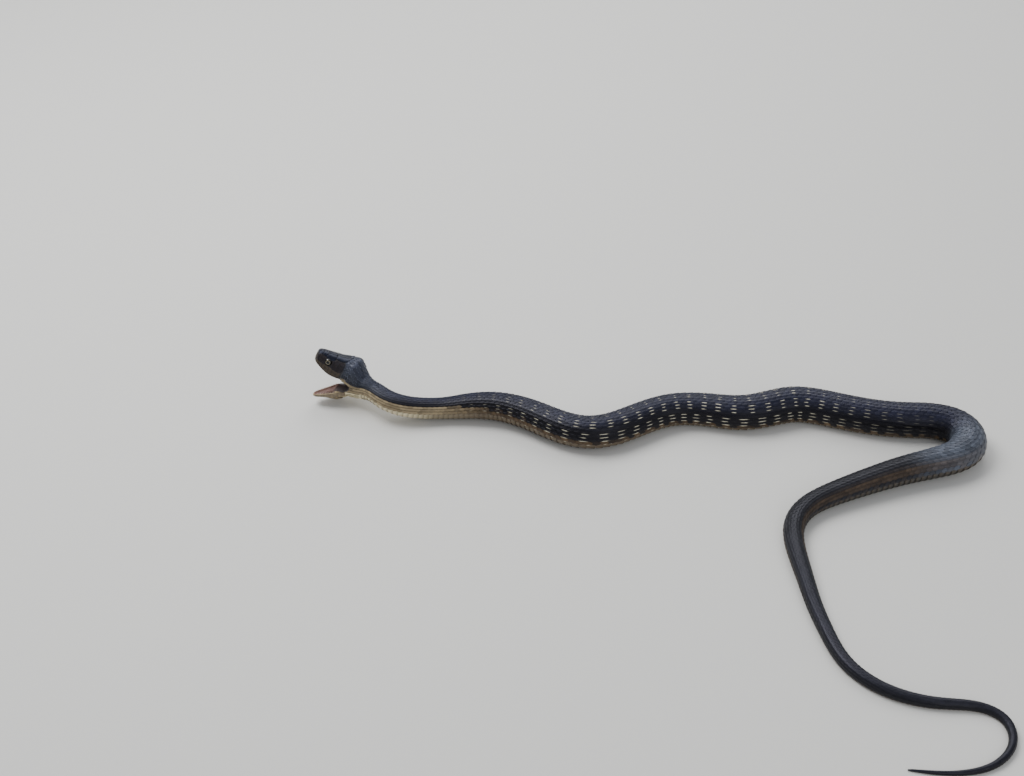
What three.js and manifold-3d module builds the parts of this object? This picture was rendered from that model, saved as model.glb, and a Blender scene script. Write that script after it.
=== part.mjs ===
// A large garter snake at life size, lying in open bends with its mouth agape.
// Millimetres, +Z up, floor at z = 0. The head is at the -X end, its left side towards -Y.

import * as THREE from 'three';
import Module from 'manifold-3d';

const wasm = await Module();
wasm.setup();

// Driving dimensions of the body

// Plan of the body line from the back of the skull to the tip of the tail. The line is a
// uniform cubic B-spline, so it passes just inside these guide points.
const BODY_GUIDE = [
  [-123, -8], [-112, -10], [-100, -23], [-90, -32], [-74, -35], [-52, -33], [-30, -31],
  [-8, -32], [14, -42], [34, -56], [54, -63], [74, -57], [94, -44], [115, -34], [138, -35],
  [161, -41], [181, -37], [203, -28], [226, -35], [252, -44], [278, -48], [299, -47],
  [317, -54], [322, -71], [310, -86], [290, -93], [268, -99], [245, -108], [219, -119],
  [197, -130], [185, -147], [184, -168], [187, -192], [189, -216], [194, -240], [200, -264],
  [220, -284], [248, -293], [272, -292], [290, -301], [290, -322], [272, -338], [247, -341],
  [224, -337],
];
// Middle of the whole snake on the plan, which becomes the origin.
const PLAN_CENTRE = [93.45, -169.98];
// Tables of [place along the plan of the body line, value].
const HALF_WIDTH = [
  [0, 8.2], [5, 9.3], [9, 10.3], [13, 9.3], [18, 7.9], [23, 7.5], [30, 7.8], [42, 8.3], [66, 8.3],
  [80, 8.5], [90, 9.2], [100, 10.1], [120, 11.2], [150, 11.9], [200, 12.3], [260, 12.0], [330, 13.0],
  [400, 12.9], [470, 12.5], [520, 11.3], [570, 9.6], [620, 7.7], [660, 6.4], [690, 5.5], [720, 4.9],
  [770, 4.3], [820, 3.6], [860, 2.9], [900, 2.1], [930, 1.3], [940, 0.9], [944, 0.5],
];
// Height of the belly over the floor where the neck rises to the head.
const LIFT = [
  [0, 20.7], [6, 18.4], [12, 15.2], [18, 12.6], [24, 11.0], [31, 9.8], [40, 7.3], [52, 4.3], [66, 2],
  [82, 0.5], [96, 0], [944, 0],
];
// Degrees that the back leans towards the snake's right side.
const LEAN = [
  [0, 18], [40, 28], [90, 34], [150, 26], [230, 12], [330, 0], [440, -4], [520, -30],
  [600, -30], [680, -12], [740, 0], [944, 0],
];
// Depth that the stretched throat adds under the neck.
const THROAT_DROP = [
  [0, 15.6], [6, 16.6], [12, 16.0], [18, 10.0], [24, 3.8], [31, 0.6], [38, 0], [944, 0],
];
// Half height over half width. The neck is low where it passes under the skull.
const HEIGHT_SHARE = [
  [0, 0.86], [5, 0.98], [9, 0.98], [12, 0.86], [15, 0.74], [20, 0.78], [28, 0.88], [45, 0.92],
  [60, 0.94], [944, 0.94],
];

const BODY_SIDES = 18;
const BELLY_DEPTH = 0.92;
const BELLY_SQUARENESS = 0.75;
// The stretched throat is broader underneath, by this much for each millimetre of its drop.
const THROAT_SQUARING = 0.02;
const FLANK_SQUARENESS = 0.92;
// The belly is pressed flat by this share of its half height where it lies on the floor.
const BELLY_PRESS = 0.06;
// The line's direction is taken over this reach. It is longer over the bend of the neck, so
// the deep sections of the throat don't cross.
const FRAME_REACH = 1.5;
const NECK_FRAME_REACH = 5;
const NECK_BEND = [12, 40];
const NODE_GAP = 0.3;

// Belly scutes, set wider apart than the real ones. Each rises towards its rear edge.
const SCUTE_PITCH = 8.5;
const NECK_SCUTE_PITCH = 5.5;
const SCUTE_RISE = 0.4;
const SCUTE_EDGE = 0.8;
const SCUTE_FULL_WIDTH = 6;
// They begin over this stretch of the throat, and span the underside between these shares.
const SCUTE_START = [14, 30];
const SCUTE_SPAN = [0.3, 0.55];

// Lengths of the body, each from one place along the line to the next.
const NECK_END = 76;
const LENGTHS = [
  ['trunk_1', 158], ['trunk_2', 240], ['trunk_3', 322], ['trunk_4', 402], ['trunk_5', 478],
  ['trunk_6', 556], ['trunk_7', 630], ['trunk_8', 702], ['tail_1', 782], ['tail_2', 862],
  ['tail_3', 944],
];

// Driving dimensions of the head, in its own frame: x forward from the back of the skull,
// y to the snake's left, z up.
const HEAD_PITCH = 24;
const HEAD_YAW = 2;
const SNOUT = 20.6;
const HEAD_WIDTH = [
  [-10, 6.5], [-6, 9.0], [-2, 9.3], [2, 9.1], [6, 8.4], [10, 7.6], [13, 6.9], [15.5, 6.2],
  [17.5, 5.7], [19.2, 4.7], [20.2, 3.2], [SNOUT, 1.8],
];
const HEAD_TOP = [
  [-10, 9.8], [-7, 10.2], [-4, 9.6], [-1, 8.7], [2, 8.2], [5, 8.1], [9, 8.0], [12, 7.9], [15, 7.8],
  [17.5, 7.5], [19.2, 6.9], [20.2, 5.8], [SNOUT, 4.2],
];
const UPPER_LIP = [
  [-10, -5.4], [-2, -6.3], [2, -6.5], [6, -6.4], [10, -5.8], [14, -4.4], [17, -3.0],
  [19.2, -1.9], [SNOUT, -0.6],
];
const LIP_FLARE = [[-2, 0], [3, 0.5], [8, 0.9], [13, 0.6], [17, 0.1], [SNOUT, 0]];
const LIP_THICKNESS = 1.5;
const PALATE = -1.4;
const CROWN_SQUARENESS = 0.4;
const CHEEK_SQUARENESS = 0.8;
const MOUTH_SQUARENESS = 0.6;

// The lower jaw hangs on the dropped joint behind the mouth's corner.
const JAW_JOINT = [-9, -15.5];
const JAW_DROP = 31;
const JAW_LENGTH = 24.5;
const JAW_WIDTH = [
  [-5, 6.4], [-1, 7.6], [2, 8.4], [6, 8.7], [9, 8.2], [12, 7.3], [16, 6.2], [19.5, 4.9],
  [22, 3.7], [23.7, 2.3], [JAW_LENGTH, 1.0],
];
const JAW_DEPTH = [
  [-5, 3.6], [-1, 4.6], [4, 5.4], [8, 5.4], [11, 4.4], [14, 3.1], [18, 2.1], [22, 1.5], [JAW_LENGTH, 0.9],
];
const JAW_LIP = [[-5, 0.6], [-1, 1.2], [3, 2.0], [6, 2.2], [12, 1.6], [18, 1.2], [22, 1.0], [JAW_LENGTH, 0.6]];
const JAW_FLOOR = -0.9;
const KEEL_SQUARENESS = 0.8;
const JAW_CHEEK_SQUARENESS = 0.9;

const EYE_PLACE = [11.2, 5.4, 2.2];
const EYE_RADIUS = 2.9;
const NOSTRIL_PLACE = [18.4, 4.9, 2.4];
const NOSTRIL_RADIUS = 0.6;
// Stretched hollow behind the tongue, seen between the corners of the mouth.
const GULLET_PLACE = [-1, 0, -11];
const GULLET_SIZE = [10.4, 8.0, 8.4];
// Gap between the lips that runs back to the mouth's corners.
const GAPE_PLACE = [-1, 0, -11.4];
const GAPE_SIZE = [9.5, 20, 4.9];
// Gap over the lower lip, so the front of the throat doesn't stand above it.
const LIP_GAP_PLACE = [9.5, 0, 5.4];
const LIP_GAP_SIZE = [5.5, 20, 3.1];
const THROAT_START = 7;
// The front of the throat is rounded by rings of [reach ahead of its start, share of its size],
// which shrink towards its middle depth.
const MOUTH_CORNER = [[4.6, 0.6], [3.4, 0.79], [1.7, 0.93]];
const WINDPIPE_PLACE = 13;
const WINDPIPE_RISE = 0.6;
const WINDPIPE_SIZE = [4.2, 1.5, 1.2];

// Rows of teeth: how many, the first one's place, the pitch, and how far in from the lip.
const TOOTH_LENGTH = 1.4;
const TOOTH_RADIUS = 0.36;
const TOOTH_ROOT = 0.8;
const TOOTH_RAKE = 0.8;
const LIP_TEETH = { count: 8, first: 3, pitch: 2.1, inset: 1.7, rise: 0.8 };
const PALATE_TEETH = { count: 6, first: 2, pitch: 2.2, half: 2.6, rise: 2.6 };
const JAW_TEETH = { count: 8, first: 7.5, pitch: 1.9, inset: 1.5, rise: -0.5 };

// Head shields. Outlines are [x, share of the arc from the crown's middle to the lip], where a
// negative share is on the other side. Neighbours share their corners, and every shield is
// then drawn in by half a seam.
const SHIELD_SEAM = 0.3;
const SHIELD_ROOT = 0.9;
const SHIELD_RISE = 0.25;
const SHIELD_DOME = 0.3;
const BEVEL_INSET = 0.02;
const DOME_INSET = 0.45;
const CROWN_PAIRS = [
  [[19.5, 0], [19.3, 0.29], [18.2, 0.34], [17.0, 0.36], [16.6, 0.22], [16.4, 0]],
  [
    [16.4, 0], [16.6, 0.22], [17.0, 0.36], [14.8, 0.39], [14.0, 0.39], [13.0, 0.27],
    [12.6, 0.16], [12.4, 0],
  ],
  [
    [12.6, 0.16], [13.0, 0.27], [14.0, 0.39], [12.6, 0.42], [9.4, 0.43], [7.4, 0.41],
    [6.6, 0.32], [6.3, 0.15], [8.5, 0.14],
  ],
  [
    [5.2, 0], [6.3, 0.15], [6.6, 0.32], [5.6, 0.35], [2.0, 0.37], [-1.0, 0.35],
    [-3.4, 0.22], [-4.2, 0.08], [-3.6, 0],
  ],
];
const FRONTAL = [
  [12.4, 0], [12.6, 0.16], [8.5, 0.14], [6.3, 0.15], [5.2, 0], [6.3, -0.15], [8.5, -0.14],
  [12.6, -0.16],
];
const CHEEK_SHIELDS = [
  [[19.3, 0.29], [19.6, 0.52], [19.5, 0.77], [18.5, 0.77], [18.7, 0.62], [18.5, 0.5], [18.2, 0.34]],
  [[18.2, 0.34], [18.3, 0.5], [18.1, 0.62], [18.3, 0.77], [16.9, 0.77], [16.7, 0.52], [17.0, 0.36]],
  [[17.0, 0.36], [16.7, 0.52], [16.9, 0.77], [14.9, 0.77], [14.6, 0.56], [14.8, 0.39]],
  [[9.2, 0.44], [7.4, 0.41], [7.2, 0.51], [8.9, 0.52]],
  [[8.9, 0.52], [7.2, 0.51], [7.1, 0.62], [8.9, 0.63]],
  [[8.9, 0.63], [7.1, 0.62], [7.2, 0.75], [9.3, 0.72]],
  [
    [7.4, 0.41], [5.6, 0.36], [3.9, 0.38], [3.7, 0.56], [4.2, 0.77], [7.2, 0.75],
    [7.1, 0.62], [7.2, 0.51],
  ],
  [[3.9, 0.38], [1.2, 0.38], [-0.8, 0.43], [-0.4, 0.56], [3.7, 0.56]],
  [[3.7, 0.56], [-0.4, 0.56], [-0.5, 0.68], [0.4, 0.77], [4.2, 0.77]],
];
const UPPER_LABIAL_EDGES = [19.5, 17.2, 14.9, 12.5, 9.7, 6.8, 3.9, 0.6];
const UPPER_LABIAL_TOPS = [0.77, 0.77, 0.76, 0.72, 0.72, 0.76, 0.77, 0.77];
const UPPER_LIP_SHARE = 0.985;
// The shield at the snout's tip, as [y, z] over the blunt face of the snout.
const ROSTRAL = [
  [-2.5, -1.0], [2.5, -1.0], [2.7, 0.3], [1.9, 2.4], [0.9, 4.1], [-0.9, 4.1], [-1.9, 2.4],
  [-2.7, 0.3],
];
// On the jaw the share runs from the lip to the middle under the chin.
const LOWER_LABIAL_EDGES = [23.6, 21.6, 19.6, 17.2, 14.6, 11.9, 9.2, 6.4, 3.4];
const LOWER_LABIAL_TOP = 0.34;
const LOWER_LIP_SHARE = 0.03;
const CHIN_PAIRS = [
  [[23.4, 0.5], [21.6, 0.42], [17.4, 0.44], [16.9, 0.97], [22.4, 0.97]],
  [[16.9, 0.97], [17.4, 0.44], [14.6, 0.42], [10.4, 0.5], [10.0, 0.85], [13.0, 0.97]],
];

// Thin cuts that part the neck from the head, and the head from the lower jaw.
const NECK_CUT = -12;
const MOUTH_CUT = -9.5;
const FAR = 90;

const SLATE_SKIN = { color: 0x2b2f35, roughness: 0.45 };
const HEAD_SKIN = { color: 0x33363a, roughness: 0.4 };
const JAW_SKIN = { color: 0x9c8a68, roughness: 0.5 };
const EYE_GLAZE = { color: 0x8f8460, roughness: 0.1 };

// Small helpers

function radians(degrees) {
  return degrees * Math.PI / 180;
}

// Smooth curve through a table of [place, value], with slopes from the neighbours.
function along(table, place) {
  const last = table.length - 1;
  if (place <= table[0][0]) return table[0][1];
  if (place >= table[last][0]) return table[last][1];
  let i = 0;
  while (place > table[i + 1][0]) i += 1;
  const slope = (k) => {
    const a = table[Math.max(k - 1, 0)];
    const b = table[Math.min(k + 1, last)];
    return (b[1] - a[1]) / (b[0] - a[0]);
  };
  const [x0, y0] = table[i];
  const [x1, y1] = table[i + 1];
  const span = x1 - x0;
  const t = (place - x0) / span;
  const t2 = t * t;
  const t3 = t2 * t;
  return (2 * t3 - 3 * t2 + 1) * y0 + (t3 - 2 * t2 + t) * span * slope(i)
    + (3 * t2 - 2 * t3) * y1 + (t3 - t2) * span * slope(i + 1);
}

function easeBetween(from, to, value) {
  return THREE.MathUtils.smoothstep(value, from, to);
}

function signedPower(value, power) {
  return Math.sign(value) * Math.abs(value) ** power;
}

// The body line

function splinePoint(four, t) {
  const weights = [
    (1 - t) ** 3, 3 * t ** 3 - 6 * t ** 2 + 4, -3 * t ** 3 + 3 * t ** 2 + 3 * t + 1, t ** 3,
  ];
  const point = new THREE.Vector2();
  four.forEach((knot, i) => point.addScaledVector(knot, weights[i] / 6));
  return point;
}

function planLine() {
  const guide = BODY_GUIDE.map(([x, y]) => new THREE.Vector2(x - PLAN_CENTRE[0], y - PLAN_CENTRE[1]));
  const first = guide[0].clone().multiplyScalar(2).sub(guide[1]);
  const last = guide.at(-1).clone().multiplyScalar(2).sub(guide.at(-2));
  const knots = [first, ...guide, last];
  const points = [];
  const stepsPerSpan = 24;
  for (let i = 0; i < knots.length - 3; i += 1) {
    for (let j = 0; j < stepsPerSpan; j += 1) {
      points.push(splinePoint(knots.slice(i, i + 4), j / stepsPerSpan));
    }
  }
  points.push(guide.at(-1));
  const places = [0];
  for (let i = 1; i < points.length; i += 1) {
    places.push(places[i - 1] + points[i].distanceTo(points[i - 1]));
  }
  return { points, places };
}

const LINE = planLine();

function planPoint(place) {
  const { points, places } = LINE;
  let i = 0;
  while (i < places.length - 2 && places[i + 1] < place) i += 1;
  const t = (place - places[i]) / (places[i + 1] - places[i]);
  return points[i].clone().lerp(points[i + 1], t);
}

// One closed section of the body as [left, up] pairs, from the back round by the left flank.
// The scutes' rise pushes the underside out.
function bodySection(place, scuteRise = 0) {
  const halfWidth = along(HALF_WIDTH, place);
  const halfHeight = halfWidth * along(HEIGHT_SHARE, place);
  const drop = along(THROAT_DROP, place);
  const scute = scuteRise * easeBetween(...SCUTE_START, place)
    * Math.min(halfWidth / SCUTE_FULL_WIDTH, 1);
  const squareness = BELLY_SQUARENESS - THROAT_SQUARING * drop;
  const section = [];
  for (let i = 0; i < BODY_SIDES; i += 1) {
    const angle = 2 * Math.PI * i / BODY_SIDES;
    const up = Math.cos(angle);
    const raised = scute * easeBetween(...SCUTE_SPAN, -up);
    const belly = (halfHeight * BELLY_DEPTH + drop) * Math.abs(up) ** squareness;
    section.push([
      (halfWidth + raised) * signedPower(Math.sin(angle), FLANK_SQUARENESS),
      up < 0 ? -belly - raised : halfHeight * up,
    ]);
  }
  return section;
}

// Height of the section's middle that lays the leaning section on the floor.
function restHeight(place) {
  const lean = radians(along(LEAN, place));
  const halfWidth = along(HALF_WIDTH, place);
  const drop = along(THROAT_DROP, place);
  const heights = bodySection(place).map(([left, up]) => left * Math.sin(lean) + up * Math.cos(lean));
  const press = BELLY_PRESS * halfWidth * along(HEIGHT_SHARE, place);
  return -Math.min(...heights) - press - drop * Math.cos(lean);
}

function bodyCentre(place) {
  const plan = planPoint(place);
  return new THREE.Vector3(plan.x, plan.y, restHeight(place) + along(LIFT, place));
}

// Frame with x forward to the head, y to the snake's left and z to its back.
function frameFacing(forward, lean, origin) {
  const up = new THREE.Vector3(0, 0, 1).addScaledVector(forward, -forward.z).normalize();
  const left = new THREE.Vector3().crossVectors(up, forward);
  const back = up.clone().multiplyScalar(Math.cos(lean)).addScaledVector(left, -Math.sin(lean));
  const side = left.clone().multiplyScalar(Math.cos(lean)).addScaledVector(up, Math.sin(lean));
  return new THREE.Matrix4().makeBasis(forward, side, back).setPosition(origin);
}

function bodyFrame(place) {
  const reach = FRAME_REACH + NECK_FRAME_REACH * (1 - easeBetween(...NECK_BEND, place));
  const ahead = bodyCentre(Math.max(place - reach, 0));
  const behind = bodyCentre(place + reach);
  const forward = ahead.sub(behind).normalize();
  return frameFacing(forward, radians(along(LEAN, place)), bodyCentre(place));
}

function bodyRing(place, scuteRise = 0) {
  const frame = bodyFrame(place);
  return bodySection(place, scuteRise).map(([left, up]) => {
    const point = new THREE.Vector3(0, left, up).applyMatrix4(frame);
    point.z = Math.max(point.z, 0);
    return point;
  });
}

// Rings from one place to another, two to each scute.
function bodyRings(from, to, scutePitch) {
  const scutes = Math.round((to - from) / scutePitch);
  const pitch = (to - from) / scutes;
  const rings = [];
  for (let i = 0; i < scutes; i += 1) {
    const start = from + i * pitch;
    rings.push(bodyRing(start), bodyRing(start + pitch - SCUTE_EDGE, SCUTE_RISE));
  }
  rings.push(bodyRing(to));
  return rings;
}

function headFrame() {
  const pitch = radians(HEAD_PITCH);
  const yaw = radians(HEAD_YAW);
  const forward = new THREE.Vector3(
    -Math.cos(yaw) * Math.cos(pitch), Math.sin(yaw) * Math.cos(pitch), Math.sin(pitch),
  );
  return frameFacing(forward, radians(along(LEAN, 0)), bodyCentre(0));
}

const HEAD = headFrame();

function headPoint(x, y, z) {
  return new THREE.Vector3(x, y, z).applyMatrix4(HEAD);
}

function jawPoint(x, y, z) {
  const drop = radians(JAW_DROP);
  const [jointX, jointZ] = JAW_JOINT;
  return headPoint(
    jointX + x * Math.cos(drop) + z * Math.sin(drop), y,
    jointZ - x * Math.sin(drop) + z * Math.cos(drop),
  );
}

// Solids

// Closed solid through rings of points, each ring running the same way round.
function loft(rings) {
  const sides = rings[0].length;
  const vertices = rings.flat().flatMap((point) => point.toArray());
  const triangles = [];
  for (let i = 0; i < rings.length - 1; i += 1) {
    for (let j = 0; j < sides; j += 1) {
      const a = i * sides + j;
      const b = i * sides + (j + 1) % sides;
      triangles.push([a, b, b + sides], [a, b + sides, a + sides]);
    }
  }
  for (const end of [0, rings.length - 1]) {
    const middle = new THREE.Vector3();
    rings[end].forEach((point) => middle.addScaledVector(point, 1 / sides));
    const hub = vertices.length / 3;
    vertices.push(...middle.toArray());
    for (let j = 0; j < sides; j += 1) {
      const a = end * sides + j;
      const b = end * sides + (j + 1) % sides;
      triangles.push(end === 0 ? [b, a, hub] : [a, b, hub]);
    }
  }
  return outwardSolid(vertices, triangles);
}

function outwardSolid(vertices, triangles) {
  const corner = (i) => new THREE.Vector3(...vertices.slice(3 * i, 3 * i + 3));
  let volume = 0;
  for (const [a, b, c] of triangles) {
    volume += corner(a).dot(corner(b).cross(corner(c)));
  }
  const facing = volume > 0 ? triangles : triangles.map(([a, b, c]) => [a, c, b]);
  return new wasm.Manifold(new wasm.Mesh({
    numProp: 3,
    vertProperties: new Float32Array(vertices),
    triVerts: new Uint32Array(facing.flat()),
  }));
}

// Solid from a closed three.js shape, placed by a matrix.
function solidFrom(geometry, matrix) {
  const placed = geometry.clone().applyMatrix4(matrix);
  const position = placed.getAttribute('position');
  const numbers = new Map();
  const vertices = [];
  const renumbered = [];
  const grain = 1e4;
  for (let i = 0; i < position.count; i += 1) {
    const point = [position.getX(i), position.getY(i), position.getZ(i)];
    const key = point.map((value) => Math.round(value * grain)).join(' ');
    if (!numbers.has(key)) {
      numbers.set(key, vertices.length / 3);
      vertices.push(...point);
    }
    renumbered.push(numbers.get(key));
  }
  const index = placed.index ? [...placed.index.array] : renumbered.map((_, i) => i);
  const triangles = [];
  for (let i = 0; i < index.length; i += 3) {
    const triangle = index.slice(i, i + 3).map((k) => renumbered[k]);
    if (new Set(triangle).size === 3) triangles.push(triangle);
  }
  return outwardSolid(vertices, triangles);
}

function headMatrix(place, size = [1, 1, 1]) {
  const local = new THREE.Matrix4().compose(
    new THREE.Vector3(...place), new THREE.Quaternion(), new THREE.Vector3(...size),
  );
  return HEAD.clone().multiply(local);
}

function headBall(place, size, detail = 12) {
  const ball = new THREE.SphereGeometry(1, detail, Math.round(detail / 2) + 1);
  return solidFrom(ball, headMatrix(place, size));
}

function headBox(low, high) {
  const size = high.map((value, i) => value - low[i]);
  const middle = high.map((value, i) => (value + low[i]) / 2);
  return solidFrom(new THREE.BoxGeometry(...size), headMatrix(middle));
}

function mirrored([x, y, z], side) {
  return [x, y * side, z];
}

function joinAll(solids) {
  return solids.reduce((whole, solid) => whole.add(solid));
}

function largestPiece(solid) {
  const pieces = solid.decompose();
  return pieces.reduce((best, piece) => (piece.volume() > best.volume() ? piece : best));
}

function toGeometry(solid) {
  const mesh = solid.getMesh();
  const geometry = new THREE.BufferGeometry();
  geometry.setAttribute('position', new THREE.BufferAttribute(mesh.vertProperties, 3));
  geometry.setIndex(new THREE.BufferAttribute(mesh.triVerts, 1));
  geometry.computeVertexNormals();
  return geometry;
}

// The upper head

const CROWN_POINTS = 19;
const ROOF_POINTS = 9;

// Point of the outer side at a share of the height over the lip.
function cheekPoint(x, share, side) {
  const lip = along(UPPER_LIP, x);
  const cosine = share ** (1 / CROWN_SQUARENESS);
  const sine = Math.sqrt(1 - cosine ** 2);
  const halfWidth = along(HEAD_WIDTH, x) + along(LIP_FLARE, x) * (1 - share) ** 2;
  return [x, side * halfWidth * sine ** CHEEK_SQUARENESS, lip + (along(HEAD_TOP, x) - lip) * share];
}

// Outer side from the left lip over the crown to the right lip.
function crownArc(x) {
  const arc = [];
  for (let i = 0; i < CROWN_POINTS; i += 1) {
    const angle = Math.PI * (i / (CROWN_POINTS - 1) - 0.5);
    const share = Math.max(Math.cos(angle), 0) ** CROWN_SQUARENESS;
    arc.push(cheekPoint(x, share, -Math.sign(angle)));
  }
  return arc;
}

// Inner side from the right lip over the roof of the mouth to the left lip.
function roofArc(x) {
  const rim = 0.25;
  const leastRoof = 1.5;
  const sink = 0.4 * easeBetween(15, 20, x);
  const inner = Math.max(along(HEAD_WIDTH, x) + along(LIP_FLARE, x) - LIP_THICKNESS, 0.3);
  const lip = along(UPPER_LIP, x);
  const roof = Math.min(PALATE, lip + leastRoof) + sink * (lip - PALATE);
  const arc = [];
  for (let i = 0; i < ROOF_POINTS; i += 1) {
    const across = 2 * i / (ROOF_POINTS - 1) - 1;
    const arch = (1 - across ** 2) ** MOUTH_SQUARENESS;
    arc.push([x, inner * across, lip + rim + (roof - lip) * arch]);
  }
  return arc;
}

function upperHead() {
  const stations = [-10, -8, -5, -2, 1, 4, 7, 9, 11, 13, 14.8, 16.4, 17.8, 19, 19.9, 20.4, SNOUT];
  return loft(stations.map((x) => [...crownArc(x), ...roofArc(x)].map((point) => headPoint(...point))));
}

// The lower jaw

const KEEL_POINTS = 15;
const TRAY_POINTS = 9;

// Point of the jaw's outer side at a share of the way down from the lip to the chin's underside.
function jawCheekPoint(x, share, side) {
  const cosine = share ** (1 / KEEL_SQUARENESS);
  const sine = Math.sqrt(1 - cosine ** 2);
  const lip = along(JAW_LIP, x);
  const halfWidth = along(JAW_WIDTH, x);
  return [x, side * halfWidth * sine ** JAW_CHEEK_SQUARENESS, lip - (lip + along(JAW_DEPTH, x)) * share];
}

function jawSection(x) {
  const rim = 0.15;
  const section = [];
  for (let i = 0; i < KEEL_POINTS; i += 1) {
    const angle = Math.PI * (i / (KEEL_POINTS - 1) - 0.5);
    const share = Math.max(Math.cos(angle), 0) ** KEEL_SQUARENESS;
    section.push(jawCheekPoint(x, share, Math.sign(angle)));
  }
  const lip = along(JAW_LIP, x);
  const inner = Math.max(along(JAW_WIDTH, x) - LIP_THICKNESS, 0.3);
  const chin = easeBetween(20, JAW_LENGTH, x);
  const floor = JAW_FLOOR + (lip - 2 * rim - JAW_FLOOR) * chin;
  for (let i = 0; i < TRAY_POINTS; i += 1) {
    const across = 1 - 2 * i / (TRAY_POINTS - 1);
    const dip = (1 - across ** 2) ** MOUTH_SQUARENESS;
    section.push([x, inner * across, lip + rim + (floor - lip) * dip]);
  }
  return section;
}

function lowerJaw() {
  const stations = [-5, -2, 1.5, 5, 8, 11, 14, 16.5, 18.6, 20.4, 22, 23.2, 24.1, JAW_LENGTH];
  return loft(stations.map((x) => jawSection(x).map((point) => jawPoint(...point))));
}

function jawBall(place, size, detail = 12) {
  const ball = new THREE.SphereGeometry(1, detail, Math.round(detail / 2) + 1);
  const turn = new THREE.Quaternion().setFromRotationMatrix(HEAD)
    .multiply(new THREE.Quaternion().setFromEuler(new THREE.Euler(0, radians(JAW_DROP), 0)));
  const matrix = new THREE.Matrix4().compose(jawPoint(...place), turn, new THREE.Vector3(...size));
  return solidFrom(ball, matrix);
}

function windpipe() {
  return jawBall([WINDPIPE_PLACE, 0, JAW_FLOOR + WINDPIPE_RISE], WINDPIPE_SIZE);
}

// Shields

// Point at a share of the arc of section(t), a curve with t from 0 to 1.
function onArc(section, share) {
  const steps = 60;
  const points = [];
  for (let i = 0; i <= steps; i += 1) points.push(new THREE.Vector3(...section(i / steps)));
  const arc = [0];
  for (let i = 1; i <= steps; i += 1) arc.push(arc[i - 1] + points[i].distanceTo(points[i - 1]));
  const target = share * arc[steps];
  let i = 1;
  while (i < steps && arc[i] < target) i += 1;
  const part = (target - arc[i - 1]) / (arc[i] - arc[i - 1]);
  return points[i - 1].lerp(points[i], part);
}

// The head's outer side, from share 0 on the crown's middle to 1 at the lip.
function headSide(x, share, side) {
  const across = share < 0 ? -side : side;
  const crownToLip = (t) => (
    cheekPoint(x, Math.max(Math.cos(t * Math.PI / 2), 0) ** CROWN_SQUARENESS, across));
  return onArc(crownToLip, Math.abs(share));
}

// The jaw's outer side, from share 0 at the lip to 1 under the chin's middle.
function jawSide(x, share, side) {
  const lipToChin = (t) => jawCheekPoint(x, Math.sin(t * Math.PI / 2) ** KEEL_SQUARENESS, side);
  return onArc(lipToChin, share);
}

// Point of the snout's blunt face over its own y and z.
function snoutFace(y, z) {
  let near = 14;
  let far = SNOUT;
  const halvings = 24;
  for (let i = 0; i < halvings; i += 1) {
    const x = (near + far) / 2;
    const lip = along(UPPER_LIP, x);
    const share = (z - lip) / (along(HEAD_TOP, x) - lip);
    const inside = share > 0 && share < 1 && Math.abs(y) < cheekPoint(x, share, 1)[1];
    if (inside) near = x;
    else far = x;
  }
  return new THREE.Vector3(near, y, z);
}

// Surface point pushed out along the normal. The normal is on the same side as away(point).
function liftedPoint(surface, [u, v], lift, away) {
  const step = 0.01;
  const point = surface(u, v);
  const alongU = surface(u + step, v).sub(point);
  const alongV = surface(u, v + step).sub(point);
  const normal = alongU.cross(alongV).normalize();
  return point.clone().addScaledVector(normal, Math.sign(normal.dot(away(point))) * lift);
}

function sideways(point) {
  return new THREE.Vector3(0, point.y, point.z - 1);
}

function forwards() {
  return new THREE.Vector3(1, 0, 0);
}

// Plate raised on a surface. Each ring of it is the outline drawn towards the middle, by a
// distance on the surface and then by a share.
function shield(surface, outline, toWorld, away = sideways) {
  const corners = outline.map(([u, v]) => surface(u, v));
  const middle = [0, 1].map((k) => outline.reduce((sum, corner) => sum + corner[k], 0) / outline.length);
  const hub = surface(...middle);
  const ring = (inset, lift) => outline.map((corner, i) => {
    const shrink = 1 - Math.min(SHIELD_SEAM / 2 / corners[i].distanceTo(hub), 0.5);
    const place = corner.map((value, k) => middle[k] + (value - middle[k]) * shrink * (1 - inset));
    return toWorld(...liftedPoint(surface, place, lift, away).toArray());
  });
  return loft([ring(0, -SHIELD_ROOT), ring(BEVEL_INSET, SHIELD_RISE), ring(DOME_INSET, SHIELD_DOME)]);
}

// Four-cornered shields in a row, from one edge to the next.
function labialOutlines(edges, tops, lip) {
  return edges.slice(1).map((rear, i) => (
    [[edges[i], lip], [edges[i], tops[i]], [rear, tops[i + 1]], [rear, lip]]));
}

function headShields() {
  const labials = labialOutlines(UPPER_LABIAL_EDGES, UPPER_LABIAL_TOPS, UPPER_LIP_SHARE);
  const outlines = [...CROWN_PAIRS, ...CHEEK_SHIELDS, ...labials];
  const pairs = [1, -1].flatMap((side) => outlines.map((outline) => (
    shield((x, share) => headSide(x, share, side), outline, headPoint))));
  const frontal = shield((x, share) => headSide(x, share, 1), FRONTAL, headPoint);
  return [...pairs, frontal, shield(snoutFace, ROSTRAL, headPoint, forwards)];
}

function jawShields() {
  const tops = LOWER_LABIAL_EDGES.map(() => LOWER_LABIAL_TOP);
  const labials = labialOutlines(LOWER_LABIAL_EDGES, tops, LOWER_LIP_SHARE);
  return [1, -1].flatMap((side) => [...labials, ...CHIN_PAIRS].map((outline) => (
    shield((x, share) => jawSide(x, share, side), outline, jawPoint))));
}

// Teeth

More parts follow.
